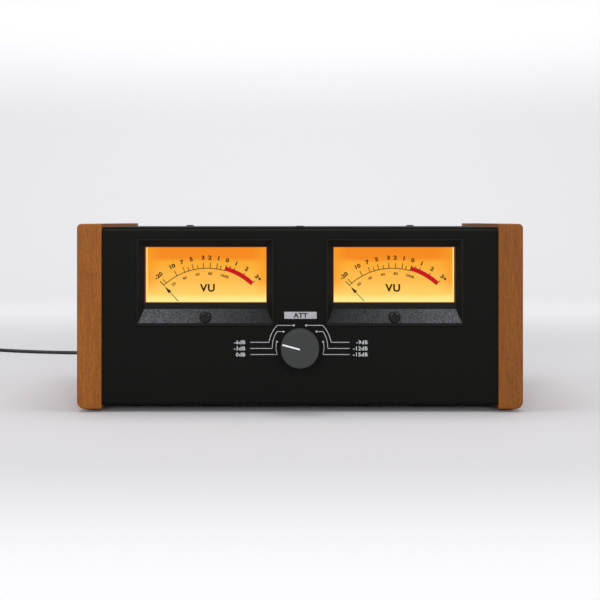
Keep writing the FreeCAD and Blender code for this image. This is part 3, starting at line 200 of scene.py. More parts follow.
sheet = piece("paper", *paper_sheet(), paper_finish())
sheet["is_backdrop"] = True


# Studio light. Two low soft boxes stand far in front, to the left and right, and throw long soft shadows
# behind the console. Larger ones hang at the sides and above. Each has its place, its size and its watts.
# The room's own light is even. The camera, metal and glass see the room as nearly white.
room_light = 0.5
soft_boxes = (
    ((-0.62, -2.3, 0.62), (0.4, 0.4), 11.0),
    ((0.62, -2.3, 0.62), (0.4, 0.4), 11.0),
    ((-1.4, -0.35, 0.8), (0.9, 1.1), 6.0),
    ((1.4, -0.35, 0.8), (0.9, 1.1), 6.0),
    ((0.0, 0.05, 1.7), (1.4, 0.9), 17.0),
)

for place, size, watts in soft_boxes:
    lamp = bpy.data.lights.new("soft_box", "AREA")
    lamp.shape = "RECTANGLE"
    lamp.size, lamp.size_y = size
    lamp.energy = watts
    box = bpy.data.objects.new("soft_box", lamp)
    bpy.context.scene.collection.objects.link(box)
    box.location = place
    box.rotation_euler = (Vector((0, 0, 0.06)) - Vector(place)).to_track_quat("-Z", "Y").to_euler()

room = bpy.data.worlds.new("room")
bpy.context.scene.world = room
room.use_nodes = True
tree = room.node_tree
sky = tree.nodes["Background"]
rays = add(tree, "LightPath")
clear = worked(tree, "MAXIMUM", rays.outputs["Is Glossy Ray"], rays.outputs["Is Transmission Ray"])
seen = worked(tree, "MAXIMUM", rays.outputs["Is Camera Ray"], clear)
strength = add(tree, "Mix", {"Factor": seen, "A": room_light, "B": 1.0}, data_type="FLOAT")
sky.inputs["Color"].default_value = (*srgb(*backdrop_white), 1)
tree.links.new(strength.outputs["Result"], sky.inputs["Strength"])


# Power lead. A round two-core lead in black PVC leaves its plug behind the console, sinks to the table,
# goes out to the left and ends in a wound coil held by a tie, with the plug-in adapter on its far end.
lead_width = 3.0 * mm
lead_step = 1.6 * mm
lying = 1.55 * mm
lead_route = [
    (-0.100, 0.1104, 0.024),
    (-0.100, 0.131, 0.024),
    (-0.101, 0.154, 0.018),
    (-0.1045, 0.176, 0.009),
    (-0.1115, 0.197, 0.0026),
    (-0.1255, 0.215, lying),
    (-0.147, 0.226, lying),
    (-0.173, 0.2295, lying),
    (-0.205, 0.2305, lying),
    (-0.241, 0.236, lying),
    (-0.276, 0.247, lying),
    (-0.302, 0.261, lying),
]
coil_start = Vector((-0.321, 0.261, 1.5 * mm))
coil_straight = 3.0 * mm
coil_outer = 22.8 * mm
coil_pitch = 4.1 * mm
coil_layer_pitch = 3.55 * mm
coil_layers = 4
coil_half_turns = 5
coil_points_per_half_turn = 8
tie_width = 4.0 * mm
tie_band = 0.35 * mm
tie_slack = 0.1 * mm
tie_squareness = 0.45
table_gap = 0.05 * mm
jacket_black = (18, 18, 19)


def coil_points():
    """Half circles about the coil's centre, along which the radius or the height changes evenly."""
    steps = np.arange(1, coil_points_per_half_turn + 1) / coil_points_per_half_turn
    radius, height, turned, growth = coil_outer, coil_start.z, 90.0, -coil_pitch / 2
    rings = []
    for layer in range(coil_layers):
        climbs = layer < coil_layers - 1
        for half_turn in range(coil_half_turns + (1 if climbs else -1)):
            wider, higher = (growth, 0) if half_turn < coil_half_turns else (0, coil_layer_pitch)
            angles, reaches = turned + 180 * steps, radius + wider * steps
            rings.append(np.column_stack([angles, reaches, height + higher * steps]))
            radius, height, turned = radius + wider, height + higher, turned + 180
        growth = -growth
    last_reach = radius + coil_pitch / 4
    every_second = steps[1::2]
    level = 0 * every_second
    quarter = np.column_stack([turned + 90 * every_second, level + last_reach, level + height])
    angle, reach, level = np.vstack(rings).T
    centre = coil_start + Vector((-coil_straight, -coil_outer, 0))
    turns = np.column_stack([
        centre.x + reach * np.cos(np.radians(angle)), centre.y + reach * np.sin(np.radians(angle)), level
    ])
    angle, reach, level = quarter.T
    out = np.column_stack([
        centre.x + reach * np.cos(np.radians(angle)),
        centre.y + radius - last_reach + reach * np.sin(np.radians(angle)),
        level,
    ])
    return np.vstack([turns, out, out[-1] - (0, coil_straight, 0)])


def smooth_route(points):
    """The points of a smooth spline along the route's control points, from the first to the last."""
    curve = bpy.data.curves.new("route", "CURVE")
    curve.dimensions = "3D"
    spline = curve.splines.new("NURBS")
    spline.points.add(len(points) - 1)
    spline.points.foreach_set("co", np.column_stack([points, np.ones(len(points))]).ravel())
    spline.order_u = 3
    spline.use_endpoint_u = True
    spline.resolution_u = 12
    route = bpy.data.objects.new("route", curve)
    bpy.context.scene.collection.objects.link(route)
    bpy.context.view_layer.update()
    mesh = bpy.data.meshes.new_from_object(route)
    line = np.empty(len(mesh.vertices) * 3)
    mesh.vertices.foreach_get("co", line)
    bpy.data.objects.remove(route)
    return line.reshape(-1, 3)


def evenly(line, step):
    """The same line with its points an equal step apart, by its own length."""
    along = np.r_[0, np.cumsum(np.linalg.norm(np.diff(line, axis=0), axis=1))]
    places = np.linspace(0, along[-1], int(along[-1] / step) + 1)
    return np.column_stack([np.interp(places, along, line[:, i]) for i in range(3)])


def lead_outline(sides=14):
    """A circle, as (side, up) points."""
    turn = np.linspace(0, 2 * math.pi, sides, endpoint=False)
    return np.column_stack([np.cos(turn), np.sin(turn)]) * lead_width / 2


def swept(line, outline, upright=(0, 0, 1)):
    """An outline of (side, up) points carried along a line, its side kept level, with both ends closed."""
    heading = np.gradient(line, axis=0)
    heading /= np.linalg.norm(heading, axis=1)[:, None]
    side = np.cross(heading, upright)
    side /= np.linalg.norm(side, axis=1)[:, None]
    up = np.cross(side, heading)
    sideways = outline[None, :, :1] * side[:, None, :]
    points = line[:, None, :] + sideways + outline[None, :, 1:] * up[:, None, :]
    rows, columns = points.shape[:2]
    faces = [face[::-1] for face in grid_faces(rows, columns, round_columns=True)]
    faces.append(list(range(columns)))
    faces.append(list(range((rows - 1) * columns, rows * columns))[::-1])
    return points, faces


def grain_group():
    """Soft blotches and a fine tooth for a bump: two noises of two sizes on the given coordinates."""
    group = bpy.data.node_groups.new("moulded_grain", "ShaderNodeTree")
    group.interface.new_socket("Vector", in_out="INPUT", socket_type="NodeSocketVector")
    for name in ("Blotch Scale", "Tooth Scale", "Low", "High"):
        group.interface.new_socket(name, in_out="INPUT", socket_type="NodeSocketFloat")
    for name in ("Blotch", "Roughness", "Tooth"):
        group.interface.new_socket(name, in_out="OUTPUT", socket_type="NodeSocketFloat")
    given, made = group.nodes.new("NodeGroupInput"), group.nodes.new("NodeGroupOutput")
    blotch = add(group, "TexNoise", {
        "Vector": given.outputs["Vector"], "Scale": given.outputs["Blotch Scale"], "Detail": 3.0,
    })
    tooth = add(group, "TexNoise", {
        "Vector": given.outputs["Vector"], "Scale": given.outputs["Tooth Scale"], "Detail": 2.0,
    })
    spread = ranged(group, blotch.outputs["Fac"], 0.3, 0.7, given.outputs["Low"], given.outputs["High"])
    group.links.new(blotch.outputs["Fac"], made.inputs["Blotch"])
    group.links.new(spread, made.inputs["Roughness"])
    group.links.new(tooth.outputs["Fac"], made.inputs["Tooth"])
    return group


moulded_grain = grain_group()


def grained(name, dark, light, low, high, blotch, tooth, depth, **values):
    """A finish whose tone and roughness wander in blotches, with a fine tooth of the given depth."""
    material, tree, shader = finish(name, light, (low + high) / 2, **values)
    where = add(tree, "TexCoord")
    grain = add(tree, "ShaderNodeGroup", node_tree=moulded_grain)
    for key, value in (("Blotch Scale", blotch), ("Tooth Scale", tooth), ("Low", low), ("High", high)):
        grain.inputs[key].default_value = value
    tree.links.new(where.outputs["Object"], grain.inputs["Vector"])
    tones = mixed(tree, grain.outputs["Blotch"], dark, light)
    bump = add(tree, "Bump", {"Height": grain.outputs["Tooth"], "Strength": 0.6, "Distance": depth})
    tree.links.new(tones, shader.inputs["Base Color"])
    tree.links.new(grain.outputs["Roughness"], shader.inputs["Roughness"])
    tree.links.new(bump.outputs["Normal"], shader.inputs["Normal"])
    return material


def dress(material, *names):
    """Gives CAD nodes a finish in place of their plain one."""
    for name in names:
        frame["nodes"][name].material_slots[0].material = material


jacket = grained("lead_jacket", srgb(12, 12, 13), srgb(*jacket_black), 0.42, 0.58, 60, 2500, 0.02 * mm)
route = np.vstack([lead_route, coil_start, coil_start + Vector((-coil_straight, 0, 0)), coil_points()])
lead_line = evenly(smooth_route(route), lead_step)
lead = piece("lead", *swept(lead_line, lead_outline()), jacket)
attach(lead, "console")
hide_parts("power_cord", "cord_coil")
dress(jacket, "power_plug")


def tie_loop():
    """A flat band round the bundle's section, along a box's outline with its corners pulled in."""
    centre = coil_start + Vector((-coil_straight, -coil_outer, 0))
    inner, outer = coil_outer - (coil_half_turns + 1) * coil_pitch / 2, coil_outer
    low, high = 0.0, (coil_layers - 1) * coil_layer_pitch + coil_start.z + lead_width / 2
    middle, half_width = (inner + outer) / 2, (outer - inner) / 2 + lead_width / 2
    middle_height, half_height = (low + high) / 2, (high - low) / 2 + tie_slack
    turn = np.radians(np.linspace(0, 360, 48, endpoint=False))
    across = np.sign(np.cos(turn)) * np.abs(np.cos(turn)) ** tie_squareness
    upward = np.sign(np.sin(turn)) * np.abs(np.sin(turn)) ** tie_squareness
    layers = []
    for width, proud in ((-1, 0), (1, 0), (1, 1), (-1, 1)):
        reach = middle + across * (half_width + proud * tie_band)
        level = middle_height + upward * (half_height + proud * tie_band)
        layers.append(np.column_stack([
            centre.x - reach,
            0 * turn + centre.y + width * tie_width / 2,
            np.maximum(level, table_gap + tie_slack * (1 - proud)),
        ]))
    points = np.stack(layers, axis=1)
    return points, grid_faces(len(turn), 4, round_rows=True, round_columns=True)


tie = piece("coil_tie", *tie_loop(), jacket)
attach(tie, "console")

adapter_black = grained("adapter_shell", srgb(16, 16, 17), srgb(24, 24, 25), 0.45, 0.6, 40, 1600, 0.04 * mm)
dress(adapter_black, "power_adapter")


# Wooden side panels. Each is one board of oiled hardwood, with its grain upright, its outer edges rounded
# over and its pores open. They are screwed on from inside. Rubber pads are stuck under them.
# Painted light: the left board gets a lighter tone than the right, standing in for the stronger light on the left.
# Both are the same wood.
lit_and_shaded_wood_tones = {"left": (149, 86, 22), "right": (134, 77, 20)}
pore_brown = (70, 40, 18)


def wood_finish(side, tone):
    """Long wavy bands, a fine upright fibre and short dark pores, all noises that are drawn out along Z."""
    material, tree, shader = finish("oiled_wood_" + side, srgb(*tone), 0.5, Specular_IOR_Level=0.2)
    place = add(tree, "TexCoord").outputs["Object"]

    def upright_noise(stretch, offset, scale, detail, distortion=0.0):
        """A noise that is drawn out along Z, because that axis is scaled down by the stretch."""
        drawn_out = add(tree, "Mapping", {"Vector": place, "Location": offset, "Scale": (1, 1, stretch)})
        settings = {"Scale": scale, "Detail": detail, "Distortion": distortion}
        return add(tree, "TexNoise", {"Vector": drawn_out.outputs[0], **settings}).outputs["Fac"]

    shift = 0.7 if side == "left" else 4.3
    wave = upright_noise(0.09, (shift, 0, 0), 210.0, 4.0, distortion=0.5)
    fine = upright_noise(0.05, (0, shift, 0), 1500.0, 3.0)
    spot = upright_noise(0.2, (0, 0, 0), 2100.0, 1.0)
    deep, light = (tuple(part * channel for channel in srgb(*tone)) for part in (0.66, 1.28))
    streak = ranged(tree, fine, 0.3, 0.7, 0.8, 1.16)
    fibre = mixed(tree, 1.0, mixed(tree, wave, deep, light), streak, blend_type="MULTIPLY")
    pore = ranged(tree, spot, 0.54, 0.68, 0.0, 0.45)
    relief = worked(tree, "SUBTRACT", streak, pore)
    bump = add(tree, "Bump", {"Height": relief, "Strength": 0.5, "Distance": 0.08 * mm})
    tree.links.new(mixed(tree, pore, fibre, srgb(*pore_brown)), shader.inputs["Base Color"])
    tree.links.new(ranged(tree, fine, 0.0, 1.0, 0.42, 0.62), shader.inputs["Roughness"])
    tree.links.new(bump.outputs["Normal"], shader.inputs["Normal"])
    return material


for side, tone in lit_and_shaded_wood_tones.items():
    dress(wood_finish(side, tone), "wood_side_" + side)

pad_rubber = grained("pad_rubber", srgb(20, 20, 20), srgb(30, 30, 30), 0.8, 0.95, 80, 2500, 0.03 * mm)
dress(pad_rubber, "foot_pads")


# Housing. Front panel, tray, rear panel and cover are bent steel sheet with a fine, semi-matt black powder
# coat. Low black screws hold the cover.
coat_dark, coat_light = (10, 12, 9), (14, 16, 12)

coat_tones = srgb(*coat_dark), srgb(*coat_light)
powder_coat = grained(
    "black_powder_coat", *coat_tones, 0.44, 0.56, 25, 3200, 0.035 * mm, Specular_IOR_Level=0.06
)
dress(powder_coat, "front_panel", "bottom_tray", "rear_panel", "top_cover")
screw_tones = srgb(14, 14, 14), srgb(24, 24, 24)
black_screw = grained("blackened_screw", *screw_tones, 0.3, 0.42, 90, 3000, 0.01 * mm, Metallic=0.6)
dress(black_screw, "cover_screws")


# Screen print on the front panel. The ways to the six knob positions, their dots and their labels are
# printed in white ink, a few hundredths of a millimetre thick.
ink_white = (196, 198, 200)
ink_thickness = 0.04 * mm
line_width = 0.36 * mm
dot_radius = 0.62 * mm
knob_axis = Vector(next(j for j in frame["joints"] if j["name"] == "attenuator_knob")["pos_m"])
line_start = 32.2 * mm
way_rows = (3.05 * mm, -0.95 * mm, -4.9 * mm)
way_circles = (20.4 * mm, 18.0 * mm, 15.6 * mm)
way_dots = ((-3.95 * mm, 14.05 * mm), (-10.75 * mm, 10.0 * mm), (-15.0 * mm, 3.4 * mm))
label_height = 2.55 * mm
label_ends = (-35.6 * mm, 44.0 * mm)
label_type = {"weight": 0.02, "stretch": 1.06, "spacing": 1.1}
labels = (("-6dB", "-9dB"), ("-3dB", "-12dB"), ("0dB", "-15dB"))

white_ink = grained("white_ink", srgb(185, 187, 190), srgb(*ink_white), 0.5, 0.65, 300, 3000, 0.01 * mm)


def way_line(row, circle, dot):
    """A level run to a circle about the knob, along it to the height of the dot, and level to the dot."""
    low = math.pi - math.asin(row / circle)
    high = math.pi - math.asin(dot[1] / circle)
    turn = np.linspace(low, high, 14)
    arc = np.column_stack([circle * np.cos(turn), circle * np.sin(turn)])
    return np.vstack([(-line_start, row), arc, dot])


def ribbon(line, width, thickness, y):
    """A flat strip on the panel along a line of (x, z) points: its edges lie half a width to each side."""
    heading = np.gradient(line, axis=0)
    heading /= np.linalg.norm(heading, axis=1)[:, None]
    across = np.column_stack([-heading[:, 1], heading[:, 0]]) * width / 2
    left, right = line + across, line - across
    rows = np.empty((len(line), 4, 3))
    corners = (left, y), (right, y), (right, y - thickness), (left, y - thickness)
    for column, (edge, depth) in enumerate(corners):
        rows[:, column, 0], rows[:, column, 1], rows[:, column, 2] = edge[:, 0], depth, edge[:, 1]
    faces = grid_faces(len(line), 4, round_columns=True)
    last = 4 * (len(line) - 1)
    return rows, [*faces, [3, 2, 1, 0], [last, last + 1, last + 2, last + 3]]


def disc(centre, radius, thickness, y, sides=24):
    """A round flat spot: a ring of points at two depths, closed at both."""
    turn = np.radians(np.linspace(0, 360, sides, endpoint=False))
    x, z = centre[0] + radius * np.cos(turn), centre[1] + radius * np.sin(turn)
    ring = np.column_stack([x, 0 * turn + y, z])
    rings = np.stack([ring, ring - (0, thickness, 0)])
    faces = [face[::-1] for face in grid_faces(2, sides, round_columns=True)]
    return rings, [*faces, list(range(sides))[::-1], list(range(sides, 2 * sides))]


def joined(parts):
    """Several (points, faces) shapes as one."""
    points, faces, count = [], [], 0
    for shape_points, shape_faces in parts:
        flat = np.asarray(shape_points).reshape(-1, 3)
        points.append(flat)
        faces += [[corner + count for corner in face] for face in shape_faces]
        count += len(flat)
    return np.vstack(points), faces


def lettering(
    text, height, place, y, thickness, align="CENTER", turn=0.0, weight=0.0, stretch=1.0, spacing=1.0
):
    """Flat letters of the given height that face the viewer, turned about their place."""
    curve = bpy.data.curves.new("text", "FONT")
    curve.body = text
    curve.extrude = 0.5
    curve.offset = weight
    curve.space_character = spacing
    curve.resolution_u = 3
    holder = bpy.data.objects.new("text", curve)
    bpy.context.scene.collection.objects.link(holder)
    bpy.context.view_layer.update()
    mesh = bpy.data.meshes.new_from_object(holder)
    points = np.empty(len(mesh.vertices) * 3)
    mesh.vertices.foreach_get("co", points)
    faces = [list(face.vertices) for face in mesh.polygons]
    bpy.data.objects.remove(holder)
    points = points.reshape(-1, 3)
    low, high = points.min(0), points.max(0)
    scale = height / (high[1] - low[1])
    anchor = high[0] if align == "RIGHT" else (low[0] + high[0]) / 2
    x = (points[:, 0] - anchor) * scale * stretch
    z = (points[:, 1] - (low[1] + high[1]) / 2) * scale
    cosine, sine = math.cos(turn), math.sin(turn)
    flat = np.column_stack([
        place[0] + x * cosine - z * sine,
        y - (points[:, 2] + 0.5) * thickness,
        place[1] + x * sine + z * cosine,
    ])
    return flat, faces


ways = []
for row, circle, dot in zip(way_rows, way_circles, way_dots):
    line = way_line(row, circle, dot)
    for mirror in (1, -1):
        path = line * (mirror, 1) + (knob_axis.x, knob_axis.z)
        ways.append(ribbon(path[::mirror], line_width, ink_thickness, face_y))
        ways.append(disc(path[-1], dot_radius, ink_thickness * 1.2, face_y))
print_ways = piece("print_ways", *joined(ways), white_ink, smooth=False)

words = []
for row, pair in zip(way_rows, labels):
    for end, text in zip(label_ends, pair):
        place = (end, knob_axis.z + row)
        words.append(lettering(text, label_height, place, face_y, ink_thickness, align="RIGHT", **label_type))
print_labels = piece("print_labels", *joined(words), white_ink, smooth=False)
for printed in (print_ways, print_labels):
    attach(printed, "console")


# Label above the knob. A small plate of satin aluminium foil with black capitals is stuck to the panel.
plate_width = 21.1 * mm
plate_height = 4.5 * mm
plate_thickness = 0.15 * mm
plate_corner = 0.25 * mm
plate_word_height = 3.2 * mm
plate_centre = (0.3 * mm, 62.9 * mm)
plate_words = "ATT"


def rounded_plate(centre, width, height, radius, thickness, y, sides=32):
    """A rounded rectangle at two depths: quarter circles about four inner corners."""
    turn = np.radians(np.linspace(0, 360, sides, endpoint=False) + 180 / sides)
    x = centre[0] + np.sign(np.cos(turn)) * (width / 2 - radius) + radius * np.cos(turn)
    z = centre[1] + np.sign(np.sin(turn)) * (height / 2 - radius) + radius * np.sin(turn)
    ring = np.column_stack([x, 0 * turn + y, z])
    rings = np.stack([ring, ring - (0, thickness, 0)])
    faces = [face[::-1] for face in grid_faces(2, sides, round_columns=True)]
    return rings, [*faces, list(range(sides))[::-1], list(range(sides, 2 * sides))]


foil = grained(
    "satin_foil", srgb(150, 150, 154), srgb(174, 174, 178), 0.35, 0.5, 120, 2500, 0.01 * mm, Metallic=0.25
)
black_ink = grained("black_ink", srgb(14, 14, 15), srgb(24, 24, 25), 0.5, 0.6, 200, 3000, 0.01 * mm)
plate_form = rounded_plate(plate_centre, plate_width, plate_height, plate_corner, plate_thickness, face_y)
plate = piece("knob_label", *plate_form, foil, smooth=False)
word_y = face_y - plate_thickness
word_type = {"weight": 0.045, "stretch": 1.06, "spacing": 1.14}
word_form = lettering(plate_words, plate_word_height, plate_centre, word_y, ink_thickness, **word_type)
word = piece("knob_label_words", *word_form, black_ink, smooth=False)
for part in (plate, word):
    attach(part, "console")


# Meter front frames. Moulded in black, with a smooth rim and flanks. The wide sill below the window has a
# coarse moulded grain. Its grey is a painted sheen, stronger towards the outer ends. The panes are clear.
frame_dark, frame_light = (11, 10, 8), (17, 15, 13)
sill_dark, sill_sheen_grey = (15, 16, 16), (126, 128, 132)
sill_top = 69.5 * mm
sill_sheen_reach = (20 * mm, 100 * mm)
sill_shine = (0.1, 0.8)
lip_glow_red = (120, 20, 8)
lip_glow = 0.4
lip_glow_start = -1.1 * mm
lip_glow_end = -0.4 * mm


def frame_finish(side):
    """Black plastic. The pebbled sill, which faces up and forward, is painted grey as a sheen that grows
    towards the outer ends, and the lips carry a painted dark red glow.
    """
    material, tree, shader = finish("moulded_frame", srgb(*frame_light), 0.46, Specular_IOR_Level=0.12)
    where = add(tree, "TexCoord")
    facing = add(tree, "SeparateXYZ", {"Vector": where.outputs["Normal"]}).outputs
    place = add(tree, "SeparateXYZ", {"Vector": where.outputs["Object"]}).outputs
    upward, forward = ranged(tree, facing["Z"], 0.2, 0.3), ranged(tree, facing["Y"], -0.6, -0.8)
    sloping = worked(tree, "MULTIPLY", upward, forward)
    under_window = ranged(tree, place["Z"], sill_top + 0.5 * mm, sill_top - 0.5 * mm)
    sill = worked(tree, "MULTIPLY", sloping, under_window)
    grain = add(tree, "TexVoronoi", {"Vector": where.outputs["Object"], "Scale": 1350.0, "Randomness": 1.0})
    grit = add(tree, "TexNoise", {"Vector": where.outputs["Object"], "Scale": 1900.0, "Detail": 2.0})
    speck = ranged(tree, grit.outputs["Fac"], 0.35, 0.68)
    # Painted sheen: the sill's grey grows from the middle towards the outer ends, standing in for lamp light
    # reflected by the pebbled black plastic.
    outer = ranged(tree, worked(tree, "ABSOLUTE", place["X"]), *sill_sheen_reach, *sill_shine)
    grey = mixed(tree, worked(tree, "MULTIPLY", speck, outer), srgb(*sill_dark), srgb(*sill_sheen_grey))
    height = worked(tree, "MULTIPLY", grain.outputs["Distance"], sill)
    bump = add(tree, "Bump", {"Height": height, "Strength": 0.7, "Distance": 0.15 * mm})
    low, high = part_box("window_" + side)
    beyond = []
    for axis, start, end in (("X", low.x, high.x), ("Z", low.z, high.z)):
        away = worked(tree, "ABSOLUTE", worked(tree, "SUBTRACT", place[axis], (start + end) / 2))
        beyond.append(worked(tree, "SUBTRACT", away, (end - start) / 2))
    # Painted light: the inner lips of the window glow dark red, standing in for the dial's light falling on them.
    lit = ranged(tree, worked(tree, "MAXIMUM", *beyond), lip_glow_end, lip_glow_start, high=lip_glow)
    shader.inputs["Emission Color"].default_value = (*srgb(*lip_glow_red), 1)
    tree.links.new(lit, shader.inputs["Emission Strength"])
    tree.links.new(mixed(tree, sill, srgb(*frame_dark), grey), shader.inputs["Base Color"])
    tree.links.new(ranged(tree, sill, 0.0, 1.0, 0.42, 0.6), shader.inputs["Roughness"])
    tree.links.new(bump.outputs["Normal"], shader.inputs["Normal"])
    return material


def pane_finish():
    """Clear acrylic that lets light pass without colour, with only a weak gloss."""
    material, tree, shader = finish("clear_pane", (1, 1, 1), 0.03, IOR=1.2)
    shader.inputs["Transmission Weight"].default_value = 1.0
    shader.inputs["Alpha"].default_value = 0.06
    return material


for side in ("left", "right"):
    dress(frame_finish(side), "front_frame_" + side)
dress(pane_finish(), "window_left", "window_right")


# Dials. A printed sheet of translucent white, lit from lamps at its foot through an orange tint. That light is
# painted on as a glow: pale at the foot, amber in the middle, deep orange in a band along the top, with painted
# shade towards both sides. White liners around it carry the light forward, also as a painted glow.
scale_radius = 42.4 * mm
band_width = 2.9 * mm
band_sunk = 0.01 * mm
scale_line = 0.48 * mm
tick_end = 46.1 * mm
small_tick_end = 44.9 * mm
band_tick_end = 46.5 * mm
number_radius = 49.5 * mm
percent_radius = 38.9 * mm
percent_dot_radius = 40.8 * mm
percent_dot = 0.2 * mm
number_height = 2.85 * mm
percent_height = 1.9 * mm
unit_height = 5.2 * mm
unit_rise = 29.3 * mm
number_type = {"weight": 0.04, "stretch": 1.2}
percent_type = {"weight": 0.035, "stretch": 1.15}
unit_type = {"weight": 0.035, "stretch": 1.04, "spacing": 1.12}
tall_ticks = (-42.8, -40.1, -28.3, -20.6, -12.6, -3.3, 2.5, 8.4, 15.9)
short_ticks = (-16.7, -8.3, 11.8)
band_ticks = (19.5, 23.2, 32.4, 42.9)
numbers = (
    (-40.9, "-20"), (-27.9, "10"), (-19.9, "7"), (-12.5, "5"), (-3.3, "3"), (2.0, "2"),
    (8.8, "1"), (15.7, "0"), (23.0, "1"), (32.0, "2"), (43.2, "3+"),
)
percents = ((-35.1, "20"), (-22.8, "40"), (-9.6, "60"), (2.9, "80"), (17.2, "100%"))
percent_dots = (-29.0, -16.5, -3.0, 6.5, 15.8)
zero_angle, full_angle = 15.9, 42.9
scale_start = -42.8
dial_glow_stops = (
    (0.0, (254, 240, 146)), (0.03, (254, 240, 146)), (0.19, (255, 206, 98)), (0.42, (255, 188, 74)),
    (0.68, (252, 172, 46)), (0.79, (246, 136, 18)), (1.0, (246, 136, 18)),
)
dial_body = (0.05, 0.025, 0.005)
dial_strength = 0.94
side_shade_reach = (30 * mm, 37 * mm)
side_shade_orange = (250, 156, 34)
scale_brown = (46, 20, 8)
percent_brown = (128, 80, 26)
band_red = (200, 14, 24)
liner_painted_glow = (255, 222, 132)


def dial_finish(centre_x):
    """A sheet that glows with painted lamp light. Its colour follows the height above its foot, as the light
    falls off upwards, and turns to orange near both sides as painted shade.
    """
    material, tree, shader = finish(
        "dial_sheet", dial_body, 0.6, Emission_Strength=dial_strength, Specular_IOR_Level=0.1
    )
    where = add(tree, "TexCoord").outputs["Object"]
    place = add(tree, "SeparateXYZ", {"Vector": where}).outputs
    wander = add(tree, "TexNoise", {"Vector": where, "Scale": 45.0, "Detail": 2.0}).outputs["Fac"]
    height = worked(tree, "ADD", place["Z"], ranged(tree, wander, 0.0, 1.0, -1.2 * mm, 1.2 * mm))
    low, high = (corner.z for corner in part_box("window_left"))
    share = ranged(tree, height, low, high)
    ramp = add(tree, "ValToRGB", {"Fac": share})
    ramp.color_ramp.interpolation = "EASE"
    for index, (position, colour) in enumerate(dial_glow_stops):
        stop = ramp.color_ramp.elements[index] if index < 2 else ramp.color_ramp.elements.new(position)
        stop.position, stop.color = position, (*srgb(*colour), 1)
    reach = worked(tree, "ABSOLUTE", worked(tree, "SUBTRACT", place["X"], centre_x))
    # Painted shade: near both sides, where less lamp light reaches, the glow turns a deeper orange.
    edge = worked(tree, "MULTIPLY", ranged(tree, reach, *side_shade_reach, high=0.7), ranged(tree, share, 0.15, 0.4))
    light = mixed(tree, edge, ramp.outputs["Color"], srgb(*side_shade_orange))
    tree.links.new(light, shader.inputs["Emission Color"])
    return material


def glowing(name, colour, strength):
    """Lamp lenses, and ink or plastic that the lamps light, with a faint unevenness. On the lenses the glow is
    the lamp itself; on the inks and liners it is painted light.
    """
    bright = srgb(*colour)
    body = tuple(0.3 * channel for channel in bright)
    material, tree, shader = finish(name, body, 0.7, Emission_Strength=strength)
    shader.inputs["Specular IOR Level"].default_value = 0.1
    noise = add(tree, "TexNoise", {"Vector": add(tree, "TexCoord").outputs["Object"], "Scale": 400.0})
    dark = tuple(0.9 * channel for channel in bright)
    tree.links.new(mixed(tree, noise.outputs["Fac"], dark, bright), shader.inputs["Emission Color"])
    return material


def polar(centre, radius, degrees):
    """The (x, z) point at a radius from the pivot, and at an angle from upright, clockwise."""
    angle = np.radians(degrees)
    return centre.x + radius * np.sin(angle), centre.z + radius * np.cos(angle)


def radial(centre, inner, outer, degrees, width, y):
    """A straight mark between two radii, at an angle from upright."""
    line = np.array([polar(centre, inner, degrees), polar(centre, outer, degrees)])
    return ribbon(line[::-1], width, ink_thickness, y)


def arc(centre, radius, start, end, width, y):
    """A curved line at a radius, between two angles from upright."""
    line = np.column_stack(polar(centre, radius, np.linspace(end, start, 60)))
    return ribbon(line, width, ink_thickness, y)


scale_ink = grained(
    "scale_ink", srgb(38, 16, 6), srgb(*scale_brown), 0.6, 0.75, 300, 3000, 0.01 * mm, Specular_IOR_Level=0.1
)
percent_ink = glowing("percent_ink", percent_brown, 0.5)
red_ink = glowing("red_ink", band_red, 0.72)
# Painted light: the light box liners glow, standing in for the lamps' light falling on their white walls.
liner = glowing("white_liner", liner_painted_glow, 0.8)

for side in ("left", "right"):
    pivot = Vector(next(j for j in frame["joints"] if j["name"] == "needle_" + side)["pos_m"])
    sheet_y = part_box("dial_" + side)[0].y
    dress(dial_finish(pivot.x), "dial_" + side)
    dress(liner, "light_box_" + side)
    marks = [arc(pivot, scale_radius, scale_start, zero_angle, scale_line, sheet_y)]
    inside, outside = scale_radius - scale_line / 2, scale_radius + band_width
    marks += [radial(pivot, inside, tick_end, a, scale_line, sheet_y) for a in tall_ticks]
    marks += [radial(pivot, scale_radius, small_tick_end, a, scale_line, sheet_y) for a in short_ticks]
    marks += [radial(pivot, outside, band_tick_end, a, scale_line, sheet_y) for a in band_ticks]
    for angle, text in numbers:
        turn = -math.radians(angle)
        place = polar(pivot, number_radius, angle)
        marks.append(lettering(text, number_height, place, sheet_y, ink_thickness, turn=turn, **number_type))
    place = (pivot.x, pivot.z + unit_rise)
    marks.append(lettering("VU", unit_height, place, sheet_y, ink_thickness, **unit_type))
    scale = piece("dial_scale_" + side, *joined(marks), scale_ink, smooth=False)
    small = []
    for angle, text in percents:
        turn = -math.radians(angle)
        place = polar(pivot, percent_radius, angle)
        figure = lettering(text, percent_height, place, sheet_y, ink_thickness, turn=turn, **percent_type)
        small.append(figure)
    spots = [polar(pivot, percent_dot_radius, angle) for angle in percent_dots]
    small += [disc(spot, percent_dot, ink_thickness, sheet_y, sides=12) for spot in spots]
    percent = piece("dial_percent_" + side, *joined(small), percent_ink, smooth=False)
    band = arc(pivot, scale_radius + band_width / 2, zero_angle, full_angle, band_width, sheet_y + band_sunk)
    red = piece("dial_band_" + side, *band, red_ink, smooth=False)
    for printed in (scale, percent, red):
        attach(printed, "console")


# Needles and zero screws. The needle is thin aluminium painted dark brown. The screw is a domed button of
# black plastic with a slot, which turns the needle's rest position.
needle_brown = (50, 22, 10)

